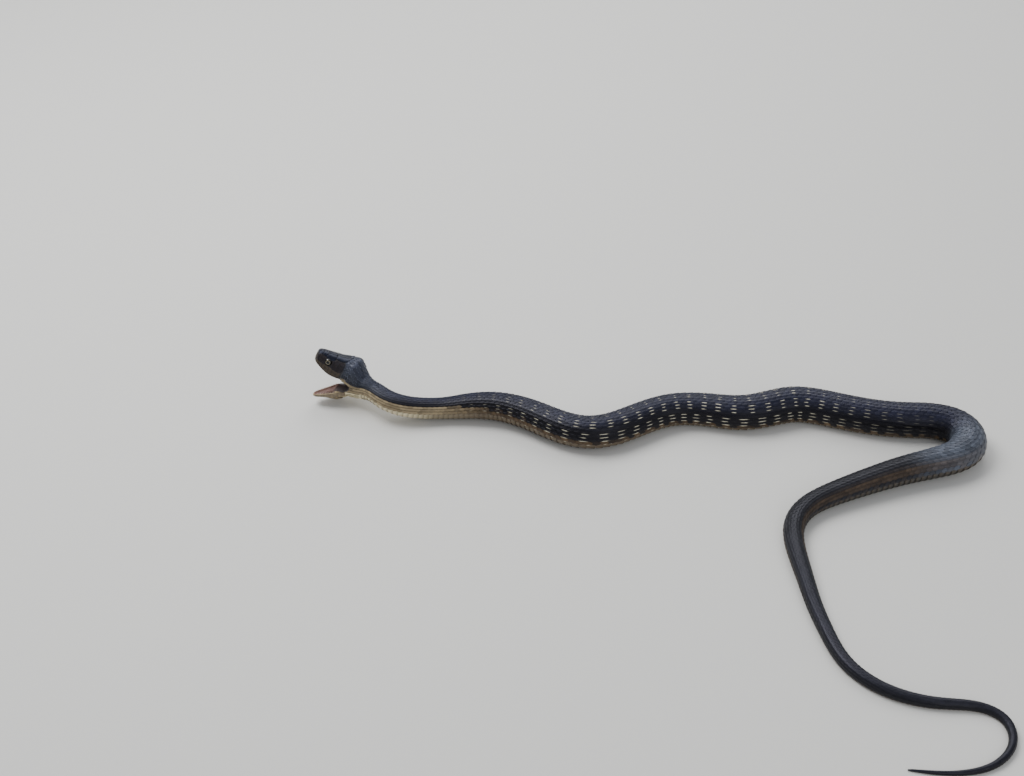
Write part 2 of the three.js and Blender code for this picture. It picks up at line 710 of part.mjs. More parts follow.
function tooth(root, tip) {
  const axis = tip.clone().sub(root).normalize();
  const sides = 5;
  const length = root.distanceTo(tip) + TOOTH_ROOT;
  const cone = new THREE.ConeGeometry(TOOTH_RADIUS, length, sides);
  const turn = new THREE.Quaternion().setFromUnitVectors(new THREE.Vector3(0, 1, 0), axis);
  const middle = tip.clone().addScaledVector(axis, -length / 2);
  return solidFrom(cone, new THREE.Matrix4().compose(middle, turn, new THREE.Vector3(1, 1, 1)));
}

// One row: where(x) gives a root's y and z, and the teeth point down or up.
function toothRow({ count, first, pitch }, where, toWorld, direction) {
  const teeth = [];
  for (let i = 0; i < count; i += 1) {
    const x = first + pitch * i;
    const [y, z] = where(x);
    const tip = toWorld(x - TOOTH_RAKE, y, z + direction * TOOTH_LENGTH);
    teeth.push(tooth(toWorld(x, y, z), tip));
  }
  return teeth;
}

function allTeeth() {
  return [1, -1].flatMap((side) => {
    const lipRow = (x) => [
      side * (along(HEAD_WIDTH, x) + along(LIP_FLARE, x) - LIP_TEETH.inset),
      along(UPPER_LIP, x) + LIP_TEETH.rise,
    ];
    const palateRow = (x) => [side * PALATE_TEETH.half, along(UPPER_LIP, x) + PALATE_TEETH.rise];
    const jawRow = (x) => [
      side * (along(JAW_WIDTH, x) - JAW_TEETH.inset), along(JAW_LIP, x) + JAW_TEETH.rise,
    ];
    return [
      ...toothRow(LIP_TEETH, lipRow, headPoint, -1),
      ...toothRow(PALATE_TEETH, palateRow, headPoint, -1),
      ...toothRow(JAW_TEETH, jawRow, jawPoint, 1),
    ];
  });
}

// Head, lower jaw and neck are one form, parted by thin cuts.

function frontBody() {
  const frame = bodyFrame(THROAT_START);
  const section = bodySection(THROAT_START);
  const heights = section.map(([, up]) => up);
  const middle = (Math.max(...heights) + Math.min(...heights)) / 2;
  const corner = MOUTH_CORNER.map(([reach, size]) => section.map(([left, up]) => (
    new THREE.Vector3(reach, left * size, middle + (up - middle) * size).applyMatrix4(frame))));
  return loft([...corner, ...bodyRings(THROAT_START, NECK_END - NODE_GAP / 2, NECK_SCUTE_PITCH)]);
}

function eyeSockets() {
  const size = EYE_RADIUS + NODE_GAP;
  return [1, -1].map((side) => headBall(mirrored(EYE_PLACE, side), [size, size, size], 16));
}

function nostrils() {
  const size = [NOSTRIL_RADIUS, NOSTRIL_RADIUS, NOSTRIL_RADIUS];
  return [1, -1].map((side) => headBall(mirrored(NOSTRIL_PLACE, side), size, 8));
}

function frontPieces() {
  const plain = joinAll([frontBody(), upperHead(), lowerJaw(), windpipe()]);
  const mouth = [
    headBall(GULLET_PLACE, GULLET_SIZE, 14),
    headBall(GAPE_PLACE, GAPE_SIZE, 18),
    jawBall(LIP_GAP_PLACE, LIP_GAP_SIZE, 16),
  ];
  const hollowed = mouth.reduce((rest, hollow) => rest.subtract(hollow), plain);
  const grown = joinAll([
    hollowed, ...headShields(), ...jawShields(), ...allTeeth(),
  ]);
  const whole = [...nostrils(), ...eyeSockets()].reduce((rest, hollow) => rest.subtract(hollow), grown);
  const half = NODE_GAP / 2;
  const above = headBox([NECK_CUT + half, -FAR, MOUTH_CUT + half], [FAR, FAR, FAR]);
  const below = headBox([NECK_CUT + half, -FAR, -FAR], [FAR, FAR, MOUTH_CUT - half]);
  const behind = headBox([-FAR, -FAR, -FAR], [NECK_CUT - half, FAR, FAR]);
  return {
    head: largestPiece(whole.intersect(above)),
    lower_jaw: largestPiece(whole.intersect(below)),
    neck: largestPiece(whole.intersect(behind)),
  };
}

// Assembly

const snake = new THREE.Group();

function addNode(name, solid, finish) {
  const material = new THREE.MeshStandardMaterial({ ...finish, metalness: 0 });
  const mesh = new THREE.Mesh(toGeometry(solid), material);
  mesh.name = name;
  snake.add(mesh);
}

function addFront() {
  const front = frontPieces();
  addNode('head', front.head, HEAD_SKIN);
  addNode('lower_jaw', front.lower_jaw, JAW_SKIN);
  addNode('neck', front.neck, SLATE_SKIN);
}

function addEyes() {
  const size = [EYE_RADIUS, EYE_RADIUS, EYE_RADIUS];
  addNode('eye_left', headBall(EYE_PLACE, size, 18), EYE_GLAZE);
  addNode('eye_right', headBall(mirrored(EYE_PLACE, -1), size, 18), EYE_GLAZE);
}

function addBodyLengths() {
  let start = NECK_END;
  for (const [name, end] of LENGTHS) {
    const rings = bodyRings(start + NODE_GAP / 2, end - NODE_GAP / 2, SCUTE_PITCH);
    addNode(name, loft(rings), SLATE_SKIN);
    start = end;
  }
}

addFront();
addEyes();
addBodyLengths();

export default snake;
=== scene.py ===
# Skin, scales, shields, eyes and mouth of a large garter snake at life size, around its solids.
# Sizes are millimetres until a mesh is made. The head is at the -X end, its left side towards -Y.

import math

import bpy
import numpy as np
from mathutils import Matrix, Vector
from mathutils.bvhtree import BVHTree
from mathutils.kdtree import KDTree


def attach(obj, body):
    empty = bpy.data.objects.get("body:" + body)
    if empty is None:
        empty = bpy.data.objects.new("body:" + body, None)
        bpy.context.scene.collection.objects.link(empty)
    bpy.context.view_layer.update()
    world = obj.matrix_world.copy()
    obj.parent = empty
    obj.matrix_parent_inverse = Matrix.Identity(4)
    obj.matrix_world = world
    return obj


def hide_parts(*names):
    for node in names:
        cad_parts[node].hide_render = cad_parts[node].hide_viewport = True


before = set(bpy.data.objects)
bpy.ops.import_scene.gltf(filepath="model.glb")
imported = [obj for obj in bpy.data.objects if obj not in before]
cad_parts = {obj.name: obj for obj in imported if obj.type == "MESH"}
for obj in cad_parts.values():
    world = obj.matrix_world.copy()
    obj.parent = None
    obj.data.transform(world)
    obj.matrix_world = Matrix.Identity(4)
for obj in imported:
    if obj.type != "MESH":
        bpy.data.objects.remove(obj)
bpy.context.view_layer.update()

MM = 0.001
rng = np.random.default_rng(19)

# Driving dimensions of the body, as in the part's source

# Plan of the body line from the back of the skull to the tip of the tail. The line is a
# uniform cubic B-spline, so it passes just inside these guide points.
BODY_GUIDE = np.array([
    [-123, -8], [-112, -10], [-100, -23], [-90, -32], [-74, -35], [-52, -33], [-30, -31],
    [-8, -32], [14, -42], [34, -56], [54, -63], [74, -57], [94, -44], [115, -34], [138, -35],
    [161, -41], [181, -37], [203, -28], [226, -35], [252, -44], [278, -48], [299, -47],
    [317, -54], [322, -71], [310, -86], [290, -93], [268, -99], [245, -108], [219, -119],
    [197, -130], [185, -147], [184, -168], [187, -192], [189, -216], [194, -240], [200, -264],
    [220, -284], [248, -293], [272, -292], [290, -301], [290, -322], [272, -338], [247, -341],
    [224, -337],
], float)
PLAN_CENTRE = np.array([93.45, -169.98])
# Tables of [place along the plan of the body line, value].
HALF_WIDTH = [
    [0, 8.2], [5, 9.3], [9, 10.3], [13, 9.3], [18, 7.9], [23, 7.5], [30, 7.8], [42, 8.3],
    [66, 8.3], [80, 8.5], [90, 9.2], [100, 10.1], [120, 11.2], [150, 11.9], [200, 12.3], [260, 12.0],
    [330, 13.0], [400, 12.9], [470, 12.5], [520, 11.3], [570, 9.6], [620, 7.7], [660, 6.4],
    [690, 5.5], [720, 4.9], [770, 4.3], [820, 3.6], [860, 2.9], [900, 2.1], [930, 1.3],
    [940, 0.9], [944, 0.5],
]
# Height of the belly over the floor where the neck rises to the head.
LIFT = [
    [0, 20.7], [6, 18.4], [12, 15.2], [18, 12.6], [24, 11.0], [31, 9.8], [40, 7.3],
    [52, 4.3], [66, 2], [82, 0.5], [96, 0], [944, 0],
]
# Degrees that the back leans towards the snake's right side.
LEAN = [
    [0, 18], [40, 28], [90, 34], [150, 26], [230, 12], [330, 0], [440, -4], [520, -30],
    [600, -30], [680, -12], [740, 0], [944, 0],
]
# Depth that the stretched throat adds under the neck.
THROAT_DROP = [[0, 15.6], [6, 16.6], [12, 16.0], [18, 10.0], [24, 3.8], [31, 0.6], [38, 0], [944, 0]]
HEIGHT_SHARE = [
    [0, 0.86], [5, 0.98], [9, 0.98], [12, 0.86], [15, 0.74], [20, 0.78], [28, 0.88],
    [45, 0.92], [60, 0.94], [944, 0.94],
]
BELLY_DEPTH = 0.92
BELLY_SQUARENESS = 0.75
THROAT_SQUARING = 0.02
FLANK_SQUARENESS = 0.92
BELLY_PRESS = 0.06
BODY_END = 944
CAD_SIDES = 18
# From the first of these places to the second the body gets slimmer by the inset, so that the
# tail's scales stay inside the solids' box.
TAIL_INSET = 0.1
TAIL_INSET_COMES = [780, 840]
# Half the stretch of line that gives its direction at a place, and what the rising neck adds.
SIGHT = 1.5
NECK_SIGHT = 5
NECK_SIGHT_GOES = [12, 40]
# Steps of the line between two guide points, and round a section.
SPAN_STEPS = 24
SECTION_STEPS = 360

# Driving dimensions of the head, in its own frame: x forward from the back of the skull,
# y to the snake's left, z up. They too are as in the part's source.
HEAD_PITCH = 24
HEAD_YAW = 2
SNOUT = 20.6
HEAD_WIDTH = [
    [-10, 6.5], [-6, 9.0], [-2, 9.3], [2, 9.1], [6, 8.4], [10, 7.6], [13, 6.9], [15.5, 6.2],
    [17.5, 5.7], [19.2, 4.7], [20.2, 3.2], [SNOUT, 1.8],
]
HEAD_TOP = [
    [-10, 9.8], [-7, 10.2], [-4, 9.6], [-1, 8.7], [2, 8.2], [5, 8.1], [9, 8.0], [12, 7.9],
    [15, 7.8], [17.5, 7.5], [19.2, 6.9], [20.2, 5.8], [SNOUT, 4.2],
]
UPPER_LIP = [
    [-10, -5.4], [-2, -6.3], [2, -6.5], [6, -6.4], [10, -5.8], [14, -4.4], [17, -3.0],
    [19.2, -1.9], [SNOUT, -0.6],
]
LIP_FLARE = [[-2, 0], [3, 0.5], [8, 0.9], [13, 0.6], [17, 0.1], [SNOUT, 0]]
LIP_THICKNESS = 1.5
PALATE = -1.4
CROWN_SQUARENESS = 0.4
CHEEK_SQUARENESS = 0.8
MOUTH_SQUARENESS = 0.6
JAW_JOINT = [-9, -15.5]
JAW_DROP = 31
JAW_LENGTH = 24.5
JAW_WIDTH = [
    [-5, 6.4], [-1, 7.6], [2, 8.4], [6, 8.7], [9, 8.2], [12, 7.3], [16, 6.2], [19.5, 4.9],
    [22, 3.7], [23.7, 2.3], [JAW_LENGTH, 1.0],
]
JAW_DEPTH = [
    [-5, 3.6], [-1, 4.6], [4, 5.4], [8, 5.4], [11, 4.4], [14, 3.1], [18, 2.1], [22, 1.5], [JAW_LENGTH, 0.9],
]
JAW_LIP = [[-5, 0.6], [-1, 1.2], [3, 2.0], [6, 2.2], [12, 1.6], [18, 1.2], [22, 1.0], [JAW_LENGTH, 0.6]]
JAW_FLOOR = -0.9
KEEL_SQUARENESS = 0.8
JAW_CHEEK_SQUARENESS = 0.9
EYE_PLACE = [11.2, 5.4, 2.2]
EYE_RADIUS = 2.9
NOSTRIL_PLACE = [18.4, 4.9, 2.4]
NOSTRIL_RADIUS = 0.6
GULLET_PLACE = [-1, 0, -11]
GULLET_SIZE = [10.4, 8.0, 8.4]
GAPE_PLACE = [-1, 0, -11.4]
GAPE_SIZE = [9.5, 20, 4.9]
# Gap over the lower lip, so the front of the throat doesn't stand above it.
LIP_GAP_PLACE = [9.5, 0, 5.4]
LIP_GAP_SIZE = [5.5, 20, 3.1]
THROAT_START = 7
MOUTH_CORNER = [[4.6, 0.6], [4.2, 0.68], [3.4, 0.79], [2.6, 0.87], [1.7, 0.93], [0.8, 0.98]]
WINDPIPE_PLACE = 13
WINDPIPE_RISE = 0.6
WINDPIPE_SIZE = [4.2, 1.5, 1.2]

# Scales of the body. The skin lies this deep inside the solids, and the scales fill the rest.
COAT_DEPTH = 0.42
# Length along the body that one belly scute, and one scale of a row, takes up.
SCALE_PITCH = [
    [-4, 2.0], [12, 2.4], [40, 3.0], [90, 3.7], [160, 4.2], [300, 4.5], [560, 4.3], [690, 3.7],
    [780, 3.1], [860, 2.5], [920, 1.8], [944, 1.4],
]
# Rows on one side from the back to the belly, as [share of the row's width, place where it ends].
SCALE_ROWS = [
    [1.0, 905], [1.0, 865], [1.0, 820], [1.0, 735], [1.0, 640], [1.0, 430], [1.05, 705],
    [1.15, 790], [1.3, 944],
]
ROW_CLOSING = 14
# The rows begin at the skull, but low on the throat only behind its fold at the mouth's corners.
ROW_START = 1
FOLD_END = 9
FOLD_GIRTH = 0.6
# Small scales cover the throat in front of the first belly scute, in rows of this many a side.
THROAT_ROWS = 6
THROAT_END = 22
# Angle from the back, in degrees, at which the rows of scales meet the belly scutes.
BELLY_EDGE = 113


def radians(degrees):
    return degrees * math.pi / 180


# Curves and the body line


def along(table, place):
    """Smooth curve through a table of [place, value], with slopes from the neighbours."""
    xs, ys = np.array(table, float).T
    place = np.clip(np.asarray(place, float), xs[0], xs[-1])
    i = np.clip(np.searchsorted(xs, place, side="left") - 1, 0, len(xs) - 2)
    before = np.maximum(np.arange(len(xs)) - 1, 0)
    after = np.minimum(np.arange(len(xs)) + 1, len(xs) - 1)
    slopes = (ys[after] - ys[before]) / (xs[after] - xs[before])
    span = xs[i + 1] - xs[i]
    t = (place - xs[i]) / span
    t2, t3 = t**2, t**3
    return (
        (2 * t3 - 3 * t2 + 1) * ys[i] + (t3 - 2 * t2 + t) * span * slopes[i]
        + (3 * t2 - 2 * t3) * ys[i + 1] + (t3 - t2) * span * slopes[i + 1]
    )


def ease(low, high, value):
    t = np.clip((np.asarray(value, float) - low) / (high - low), 0, 1)
    return t * t * (3 - 2 * t)


def signed_power(value, power):
    return np.sign(value) * np.abs(value) ** power


def unit(vectors):
    return vectors / np.maximum(np.linalg.norm(vectors, axis=-1, keepdims=True), 1e-9)


def run_along(points):
    """Length of a line so far, at each of its points."""
    steps = np.linalg.norm(np.diff(points, axis=0), axis=1)
    return np.concatenate([[0], np.cumsum(steps)])


def plan_line():
    guide = BODY_GUIDE - PLAN_CENTRE
    knots = np.vstack([2 * guide[0] - guide[1], guide, 2 * guide[-1] - guide[-2]])
    t = np.arange(SPAN_STEPS)[:, None] / SPAN_STEPS
    weights = [(1 - t) ** 3, 3 * t**3 - 6 * t**2 + 4, -3 * t**3 + 3 * t**2 + 3 * t + 1, t**3]
    spans = [sum(w * k for w, k in zip(weights, knots[i:i + 4])) / 6 for i in range(len(knots) - 3)]
    points = np.vstack([*spans, guide[-1:]])
    return run_along(points), points


LINE_PLACES, LINE_POINTS = plan_line()


def body_section(place, angle):
    """Left and up of the bare body's section at an angle from the back, round by the left."""
    half_width = along(HALF_WIDTH, place)
    half_height = half_width * along(HEIGHT_SHARE, place)
    drop = along(THROAT_DROP, place)
    up = np.cos(angle)
    belly = (half_height * BELLY_DEPTH + drop) * np.abs(up) ** (BELLY_SQUARENESS - THROAT_SQUARING * drop)
    return (
        half_width * signed_power(np.sin(angle), FLANK_SQUARENESS),
        np.where(up < 0, -belly, half_height * up),
    )


def rest_height(place):
    """Height of the section's middle that lays the leaning section on the floor."""
    place = np.asarray(place, float)[..., None]
    lean = radians(along(LEAN, place))
    left, up = body_section(place, 2 * np.pi * np.arange(CAD_SIDES) / CAD_SIDES)
    lowest = (left * np.sin(lean) + up * np.cos(lean)).min(axis=-1, keepdims=True)
    press = BELLY_PRESS * along(HALF_WIDTH, place) * along(HEIGHT_SHARE, place)
    return (-lowest - press - along(THROAT_DROP, place) * np.cos(lean))[..., 0]


def body_centre(place):
    xy = [np.interp(place, LINE_PLACES, LINE_POINTS[:, k]) for k in range(2)]
    return np.stack([*xy, rest_height(place) + along(LIFT, place)], axis=-1)


def frame_facing(forward, lean):
    """Side and back directions of a frame that faces forward, its back leaning to the right."""
    up = unit(np.array([0, 0, 1.0]) - forward * forward[..., 2:3])
    left = np.cross(up, forward)
    cos, sin = np.cos(lean)[..., None], np.sin(lean)[..., None]
    return left * cos + up * sin, up * cos - left * sin


def body_frame(place):
    place = np.asarray(place, float)
    reach = SIGHT + NECK_SIGHT * (1 - ease(*NECK_SIGHT_GOES, place))
    ahead = body_centre(np.maximum(place - reach, 0))
    forward = unit(ahead - body_centre(place + reach))
    side, back = frame_facing(forward, radians(along(LEAN, place)))
    return forward, side, back, body_centre(place)


# The body's surface as a grid: place along it, and girth round it. The girth is 0 on the
# back's middle, 1 and -1 under the belly, positive on the left, and even along the skin.

RING_STEPS = 144
GIRTHS = np.linspace(-1, 1, RING_STEPS + 1)
GRID_PLACES = np.arange(0, BODY_END + 1)


def surface_grid():
    angle = np.linspace(-np.pi, np.pi, SECTION_STEPS + 1)
    left, up = body_section(GRID_PLACES[:, None], angle)
    steps = np.hypot(np.diff(left, axis=1), np.diff(up, axis=1))
    arc = np.concatenate([np.zeros((len(left), 1)), np.cumsum(steps, axis=1)], axis=1)
    girth = 2 * arc / arc[:, -1:] - 1
    lefts = np.array([np.interp(GIRTHS, girth[i], left[i]) for i in range(len(left))])
    ups = np.array([np.interp(GIRTHS, girth[i], up[i]) for i in range(len(up))])
    edge = np.array([np.interp(radians(BELLY_EDGE), angle, row) for row in girth])
    _, side, back, centre = body_frame(GRID_PLACES)
    points = centre[:, None] + lefts[..., None] * side[:, None] + ups[..., None] * back[:, None]
    return points, edge


GRID, BELLY_GIRTH = surface_grid()


def grid_normals():
    lengthwise = np.gradient(GRID, axis=0)
    round_it = np.gradient(GRID, axis=1)
    round_it[:, 0] = round_it[:, -1] = GRID[:, 1] - GRID[:, -2]
    normals = unit(np.cross(round_it, lengthwise))
    outward = GRID - GRID[:, :-1].mean(axis=1, keepdims=True)
    turned = (normals * outward).sum(axis=-1, keepdims=True).mean() < 0
    return -normals if turned else normals


NORMALS = grid_normals()


def between(grid, i, j):
    """Value of a grid at rows and columns that lie between its own."""
    i0, j0 = i.astype(int), j.astype(int)
    fi, fj = (i - i0)[..., None], (j - j0)[..., None]
    low = grid[i0, j0] * (1 - fj) + grid[i0, j0 + 1] * fj
    high = grid[i0 + 1, j0] * (1 - fj) + grid[i0 + 1, j0 + 1] * fj
    return low * (1 - fi) + high * fi


def on_grid(values, place, girth):
    """Value of the body's grid at places and girths."""
    i = np.clip(np.asarray(place, float), 0, BODY_END - 1e-6)
    girth = (np.asarray(girth, float) + 1) % 2
    return between(values, i, np.clip(girth * RING_STEPS / 2, 0, RING_STEPS - 1e-6))


def body_point(place, girth, rise):
    """Point of the body at a place and girth, lifted off the solids' surface by a rise."""
    point = on_grid(GRID, place, girth)
    rise = np.asarray(rise, float) - TAIL_INSET * ease(*TAIL_INSET_COMES, place)
    return point + unit(on_grid(NORMALS, place, girth)) * rise[..., None]


# The head's surfaces


def head_axes():
    pitch, yaw = radians(HEAD_PITCH), radians(HEAD_YAW)
    level = math.cos(pitch)
    forward = np.array([-math.cos(yaw) * level, math.sin(yaw) * level, math.sin(pitch)])
    side, back = frame_facing(forward, np.asarray(radians(along(LEAN, 0))))
    return np.stack([forward, side, back])


HEAD_AXES = head_axes()
HEAD_ORIGIN = body_centre(0)


def head_point(point):
    return HEAD_ORIGIN + np.asarray(point, float) @ HEAD_AXES


def to_head(point):
    return (np.asarray(point, float) - HEAD_ORIGIN) @ HEAD_AXES.T


def jaw_in_head(point):
    """Jaw's own place, x forward from the joint and z up, given in the head's frame."""
    x, y, z = np.moveaxis(np.asarray(point, float), -1, 0)
    cos, sin = math.cos(radians(JAW_DROP)), math.sin(radians(JAW_DROP))
    return np.stack([JAW_JOINT[0] + x * cos + z * sin, y, JAW_JOINT[1] - x * sin + z * cos], axis=-1)


def jaw_point(point):
    return head_point(jaw_in_head(point))


def to_jaw(point):
    x, y, z = np.moveaxis(to_head(point), -1, 0)
    x, z = x - JAW_JOINT[0], z - JAW_JOINT[1]
    cos, sin = math.cos(radians(JAW_DROP)), math.sin(radians(JAW_DROP))
    return np.stack([x * cos - z * sin, y, x * sin + z * cos], axis=-1)


def breadth_left(share, squareness):
    """Share of a rounded section's half width that is left at a share of its height."""
    return np.sqrt(np.maximum(1 - np.clip(share, 0, 1) ** (2 / squareness), 0))


def cheek_surface(x, share, side):
    """Outer side of the head at a share of the height over the lip."""
    lip = along(UPPER_LIP, x)
    half_width = along(HEAD_WIDTH, x) + along(LIP_FLARE, x) * (1 - share) ** 2
    half_width = half_width * breadth_left(share, CROWN_SQUARENESS) ** CHEEK_SQUARENESS
    height = lip + (along(HEAD_TOP, x) - lip) * share
    return np.stack([x + 0 * share, side * half_width, height], axis=-1)


def jaw_surface(x, share, side):
    """Outer side of the jaw at a share of the way down from the lip to the chin's underside."""
    lip = along(JAW_LIP, x)
    half_width = along(JAW_WIDTH, x) * breadth_left(share, KEEL_SQUARENESS) ** JAW_CHEEK_SQUARENESS
    height = lip - (lip + along(JAW_DEPTH, x)) * share
    return np.stack([x + 0 * share, side * half_width, height], axis=-1)


HEAD_STATIONS = np.append(np.arange(-10, 20.4, 0.4), [20.4, SNOUT])
JAW_STATIONS = np.append(np.arange(-5, 24.3, 0.4), [24.3, JAW_LENGTH])
EVEN_STEPS = 80
ARC_POINTS = 300
# Millimetres that the whole arc spans, on one side of the head and of the jaw.
HEAD_ARC = 19.0
JAW_ARC = 9.0


def even_sections(stations, section):
    """Points of sections at even steps of arc, from one end of each section to the other."""
    rows = []
    for x in stations:
        points = section(x)
        arc = run_along(points)
        even = np.linspace(0, arc[-1], EVEN_STEPS + 1)
        rows.append(np.stack([np.interp(even, arc, points[:, k]) for k in range(3)], axis=-1))
    return np.array(rows)


def crown_to_lip(x):
    share = np.cos(np.linspace(0, np.pi / 2, ARC_POINTS)).clip(0) ** CROWN_SQUARENESS
    return cheek_surface(np.full_like(share, x), share, 1)


def lip_to_chin(x):
    share = np.cos(np.linspace(np.pi / 2, 0, ARC_POINTS)).clip(0) ** KEEL_SQUARENESS
    return jaw_surface(np.full_like(share, x), share, 1)


HEAD_SIDE = even_sections(HEAD_STATIONS, crown_to_lip)
JAW_SIDE = even_sections(JAW_STATIONS, lip_to_chin)


def on_side(sections, stations, x, share, side):
    """Point at a station and a share of the arc. A share below zero is on the other side."""
    across = np.where(share < 0, -side, side)
    i = np.clip(np.interp(x, stations, np.arange(len(stations))), 0, len(stations) - 1.001)
    point = between(sections, i, np.clip(np.abs(share), 0, 1) * (EVEN_STEPS - 0.001))
    return point * np.stack([np.ones_like(across), across, np.ones_like(across)], axis=-1)


def head_side(x, share, side=1):
    """The head's outer side, from 0 on the crown's middle to 1 at the lip."""
    return on_side(HEAD_SIDE, HEAD_STATIONS, x, share, side)


def jaw_side(x, share, side=1):
    """The jaw's outer side, from 0 at the lip to 1 under the chin's middle."""
    return on_side(JAW_SIDE, JAW_STATIONS, x, share, side)


SNOUT_FACE_START = 14.0
HALVINGS = 24


def snout_face(y, z):
    """The blunt front of the snout over its own height and breadth, found by halving."""
    near, far = np.full_like(y, SNOUT_FACE_START), np.full_like(y, SNOUT)
    for _ in range(HALVINGS):
        x = (near + far) / 2
        lip = along(UPPER_LIP, x)
        share = (z - lip) / (along(HEAD_TOP, x) - lip)
        half_width = along(HEAD_WIDTH, x) * breadth_left(share, CROWN_SQUARENESS) ** CHEEK_SQUARENESS
        inside = (share > 0) & (share < 1) & (np.abs(y) < half_width)
        near, far = np.where(inside, x, near), np.where(inside, far, x)
    return np.stack([near, y, z], axis=-1)


# Meshes


def give_values(mesh, values):
    """Stores a value by name at each point of a mesh."""
    for label, numbers in values.items():
        layer = mesh.attributes.new(label, "FLOAT", "POINT")
        layer.data.foreach_set("value", np.ascontiguousarray(numbers, dtype=np.float32))


def new_piece(name, points, faces, finish, values=None, patch=None, sharp=None):
    """A smooth mesh object from points in millimetres, with a value at each point by name."""
    mesh = bpy.data.meshes.new(name)
    mesh.from_pydata((np.asarray(points) * MM).tolist(), [], faces)
    mesh.shade_smooth()
    if sharp is not None:
        mesh.set_sharp_from_angle(angle=radians(sharp))
    give_values(mesh, values or {})
    if patch is not None:
        corners = np.zeros(len(mesh.loops), np.int32)
        mesh.loops.foreach_get("vertex_index", corners)
        mesh.uv_layers.new(name="OFBake").data.foreach_set("uv", np.asarray(patch)[corners].ravel())
    mesh.validate()
    piece = bpy.data.objects.new(name, mesh)
    bpy.context.scene.collection.objects.link(piece)
    piece.data.materials.append(finish)
    return piece


def finished(piece, values, finish):
    """Gives a piece that is made in steps its points' values and its own material."""
    give_values(piece.data, values)
    piece.data.materials.clear()
    piece.data.materials.append(finish)
    piece.data.shade_smooth()


def search_tree(points):
    """Search tree that finds the nearest of these points."""
    tree = KDTree(len(points))
    for number, point in enumerate(points):
        tree.insert(point, number)
    tree.balance()
    return tree


def turned_out(points, faces):
    """The faces, all turned over if they enclose the points inside out."""
    triangles = np.array([[f[0], f[k], f[k + 1]] for f in faces for k in range(1, len(f) - 1)])
    a, b, c = (np.asarray(points)[triangles[:, k]] for k in range(3))
    inside_out = (a * np.cross(b, c)).sum() < 0
    return [f[::-1] for f in faces] if inside_out else faces


def loft_faces(rings, sides):
    """Faces of a closed loft, its ends closed by one face each."""
    faces = []
    for i in range(rings - 1):
        for j in range(sides):
            a, b = i * sides + j, i * sides + (j + 1) % sides
            faces.append([a, b, b + sides, a + sides])
    faces.append(list(range(sides))[::-1])
    faces.append(list(range((rings - 1) * sides, rings * sides)))
    return faces


def repeated(template_faces, points_each, count):
    """Faces of many copies of one template whose points follow each other."""
    faces = []
    for face in template_faces:
        corners = np.array(face)[None, :] + points_each * np.arange(count)[:, None]
        faces.extend(corners.tolist())
    return faces


def loft(name, rings):
    points = np.concatenate(rings)
    faces = turned_out(points, loft_faces(len(rings), len(rings[0])))
    return new_piece(name, points, faces, skin_finish)


# Scales

# One scale: columns across it and rows from its root to its tip, with a keel down the middle.
SCALE_COLUMNS = np.array([-1, -0.62, -0.27, -0.09, 0, 0.09, 0.27, 0.62, 1])
SCALE_STEPS = np.array([0, 0.28, 0.52, 0.7, 0.84, 0.94, 1.0])
SCALE_OUTLINE = [[0, 0.82], [0.3, 0.97], [0.55, 1.0], [0.75, 0.84], [0.9, 0.55], [1.0, 0.16]]
SCALE_OVERLAP = 1.5
SCALE_BREADTH = 1.24
ROOT_DEPTH = 0.5
TIP_RISE = 0.05
SCALE_THICKNESS = 0.16
KEEL_RISE = 0.14
SCALE_CAMBER = 0.1
RISE_POWER = 0.8
KEEL_COMES = [0.1, 0.5]
# Half width of the body, under which scales and coat get thinner with it.
SLENDER = 8
# Breadth of one scale's patch on the bake map, and the map's free margin.
PATCH = 0.003
PATCH_MARGIN = 0.01


def scale_template():
    """Across, along and lower (1 for the underside) of one scale's points, and its faces."""
    columns, steps = len(SCALE_COLUMNS), len(SCALE_STEPS)
    across = np.tile(SCALE_COLUMNS, steps)
    lengthwise = np.repeat(SCALE_STEPS, columns)
    top = columns * steps
    across = np.concatenate([across, np.tile([-1, 1], steps)])
    lengthwise = np.concatenate([lengthwise, np.repeat(SCALE_STEPS, 2)])
    lower = np.concatenate([np.zeros(top), np.ones(2 * steps)])
    faces = []
    for i in range(steps - 1):
        for j in range(columns - 1):
            a = i * columns + j
            faces.append([a, a + 1, a + columns + 1, a + columns])
        under = top + 2 * i
        faces.append([under + 1, under, under + 2, under + 3])
        left, right = i * columns, i * columns + columns - 1
        faces.append([under, left, left + columns, under + 2])
        faces.append([right, under + 1, under + 3, right + columns])
    faces.append([*range(columns - 1, -1, -1), top, top + 1])
    last = (steps - 1) * columns
    faces.append([*range(last, last + columns), top + 2 * steps - 1, top + 2 * steps - 2])
    return across, lengthwise, lower, faces


SCALE_ACROSS, SCALE_ALONG, SCALE_LOWER, SCALE_FACES = scale_template()
# Half breadth of the scale at each of its points, and how far the point lies to the row's edge.
SCALE_HALF = along(SCALE_OUTLINE, SCALE_ALONG)
SCALE_EDGE = np.abs(SCALE_ACROSS) * SCALE_HALF * SCALE_BREADTH
COUNT_STEPS = 4000


def pitch_count():
    """Running count of scales along the body, one value for each place of a fine line."""
    places = np.linspace(SCALE_PITCH[0][0], BODY_END, COUNT_STEPS)
    steps = np.diff(places) / along(SCALE_PITCH, (places[1:] + places[:-1]) / 2)
    return places, np.concatenate([[0], np.cumsum(steps)])


COUNT_PLACES, COUNTS = pitch_count()


def place_at(count):
    return np.interp(count, COUNTS, COUNT_PLACES)


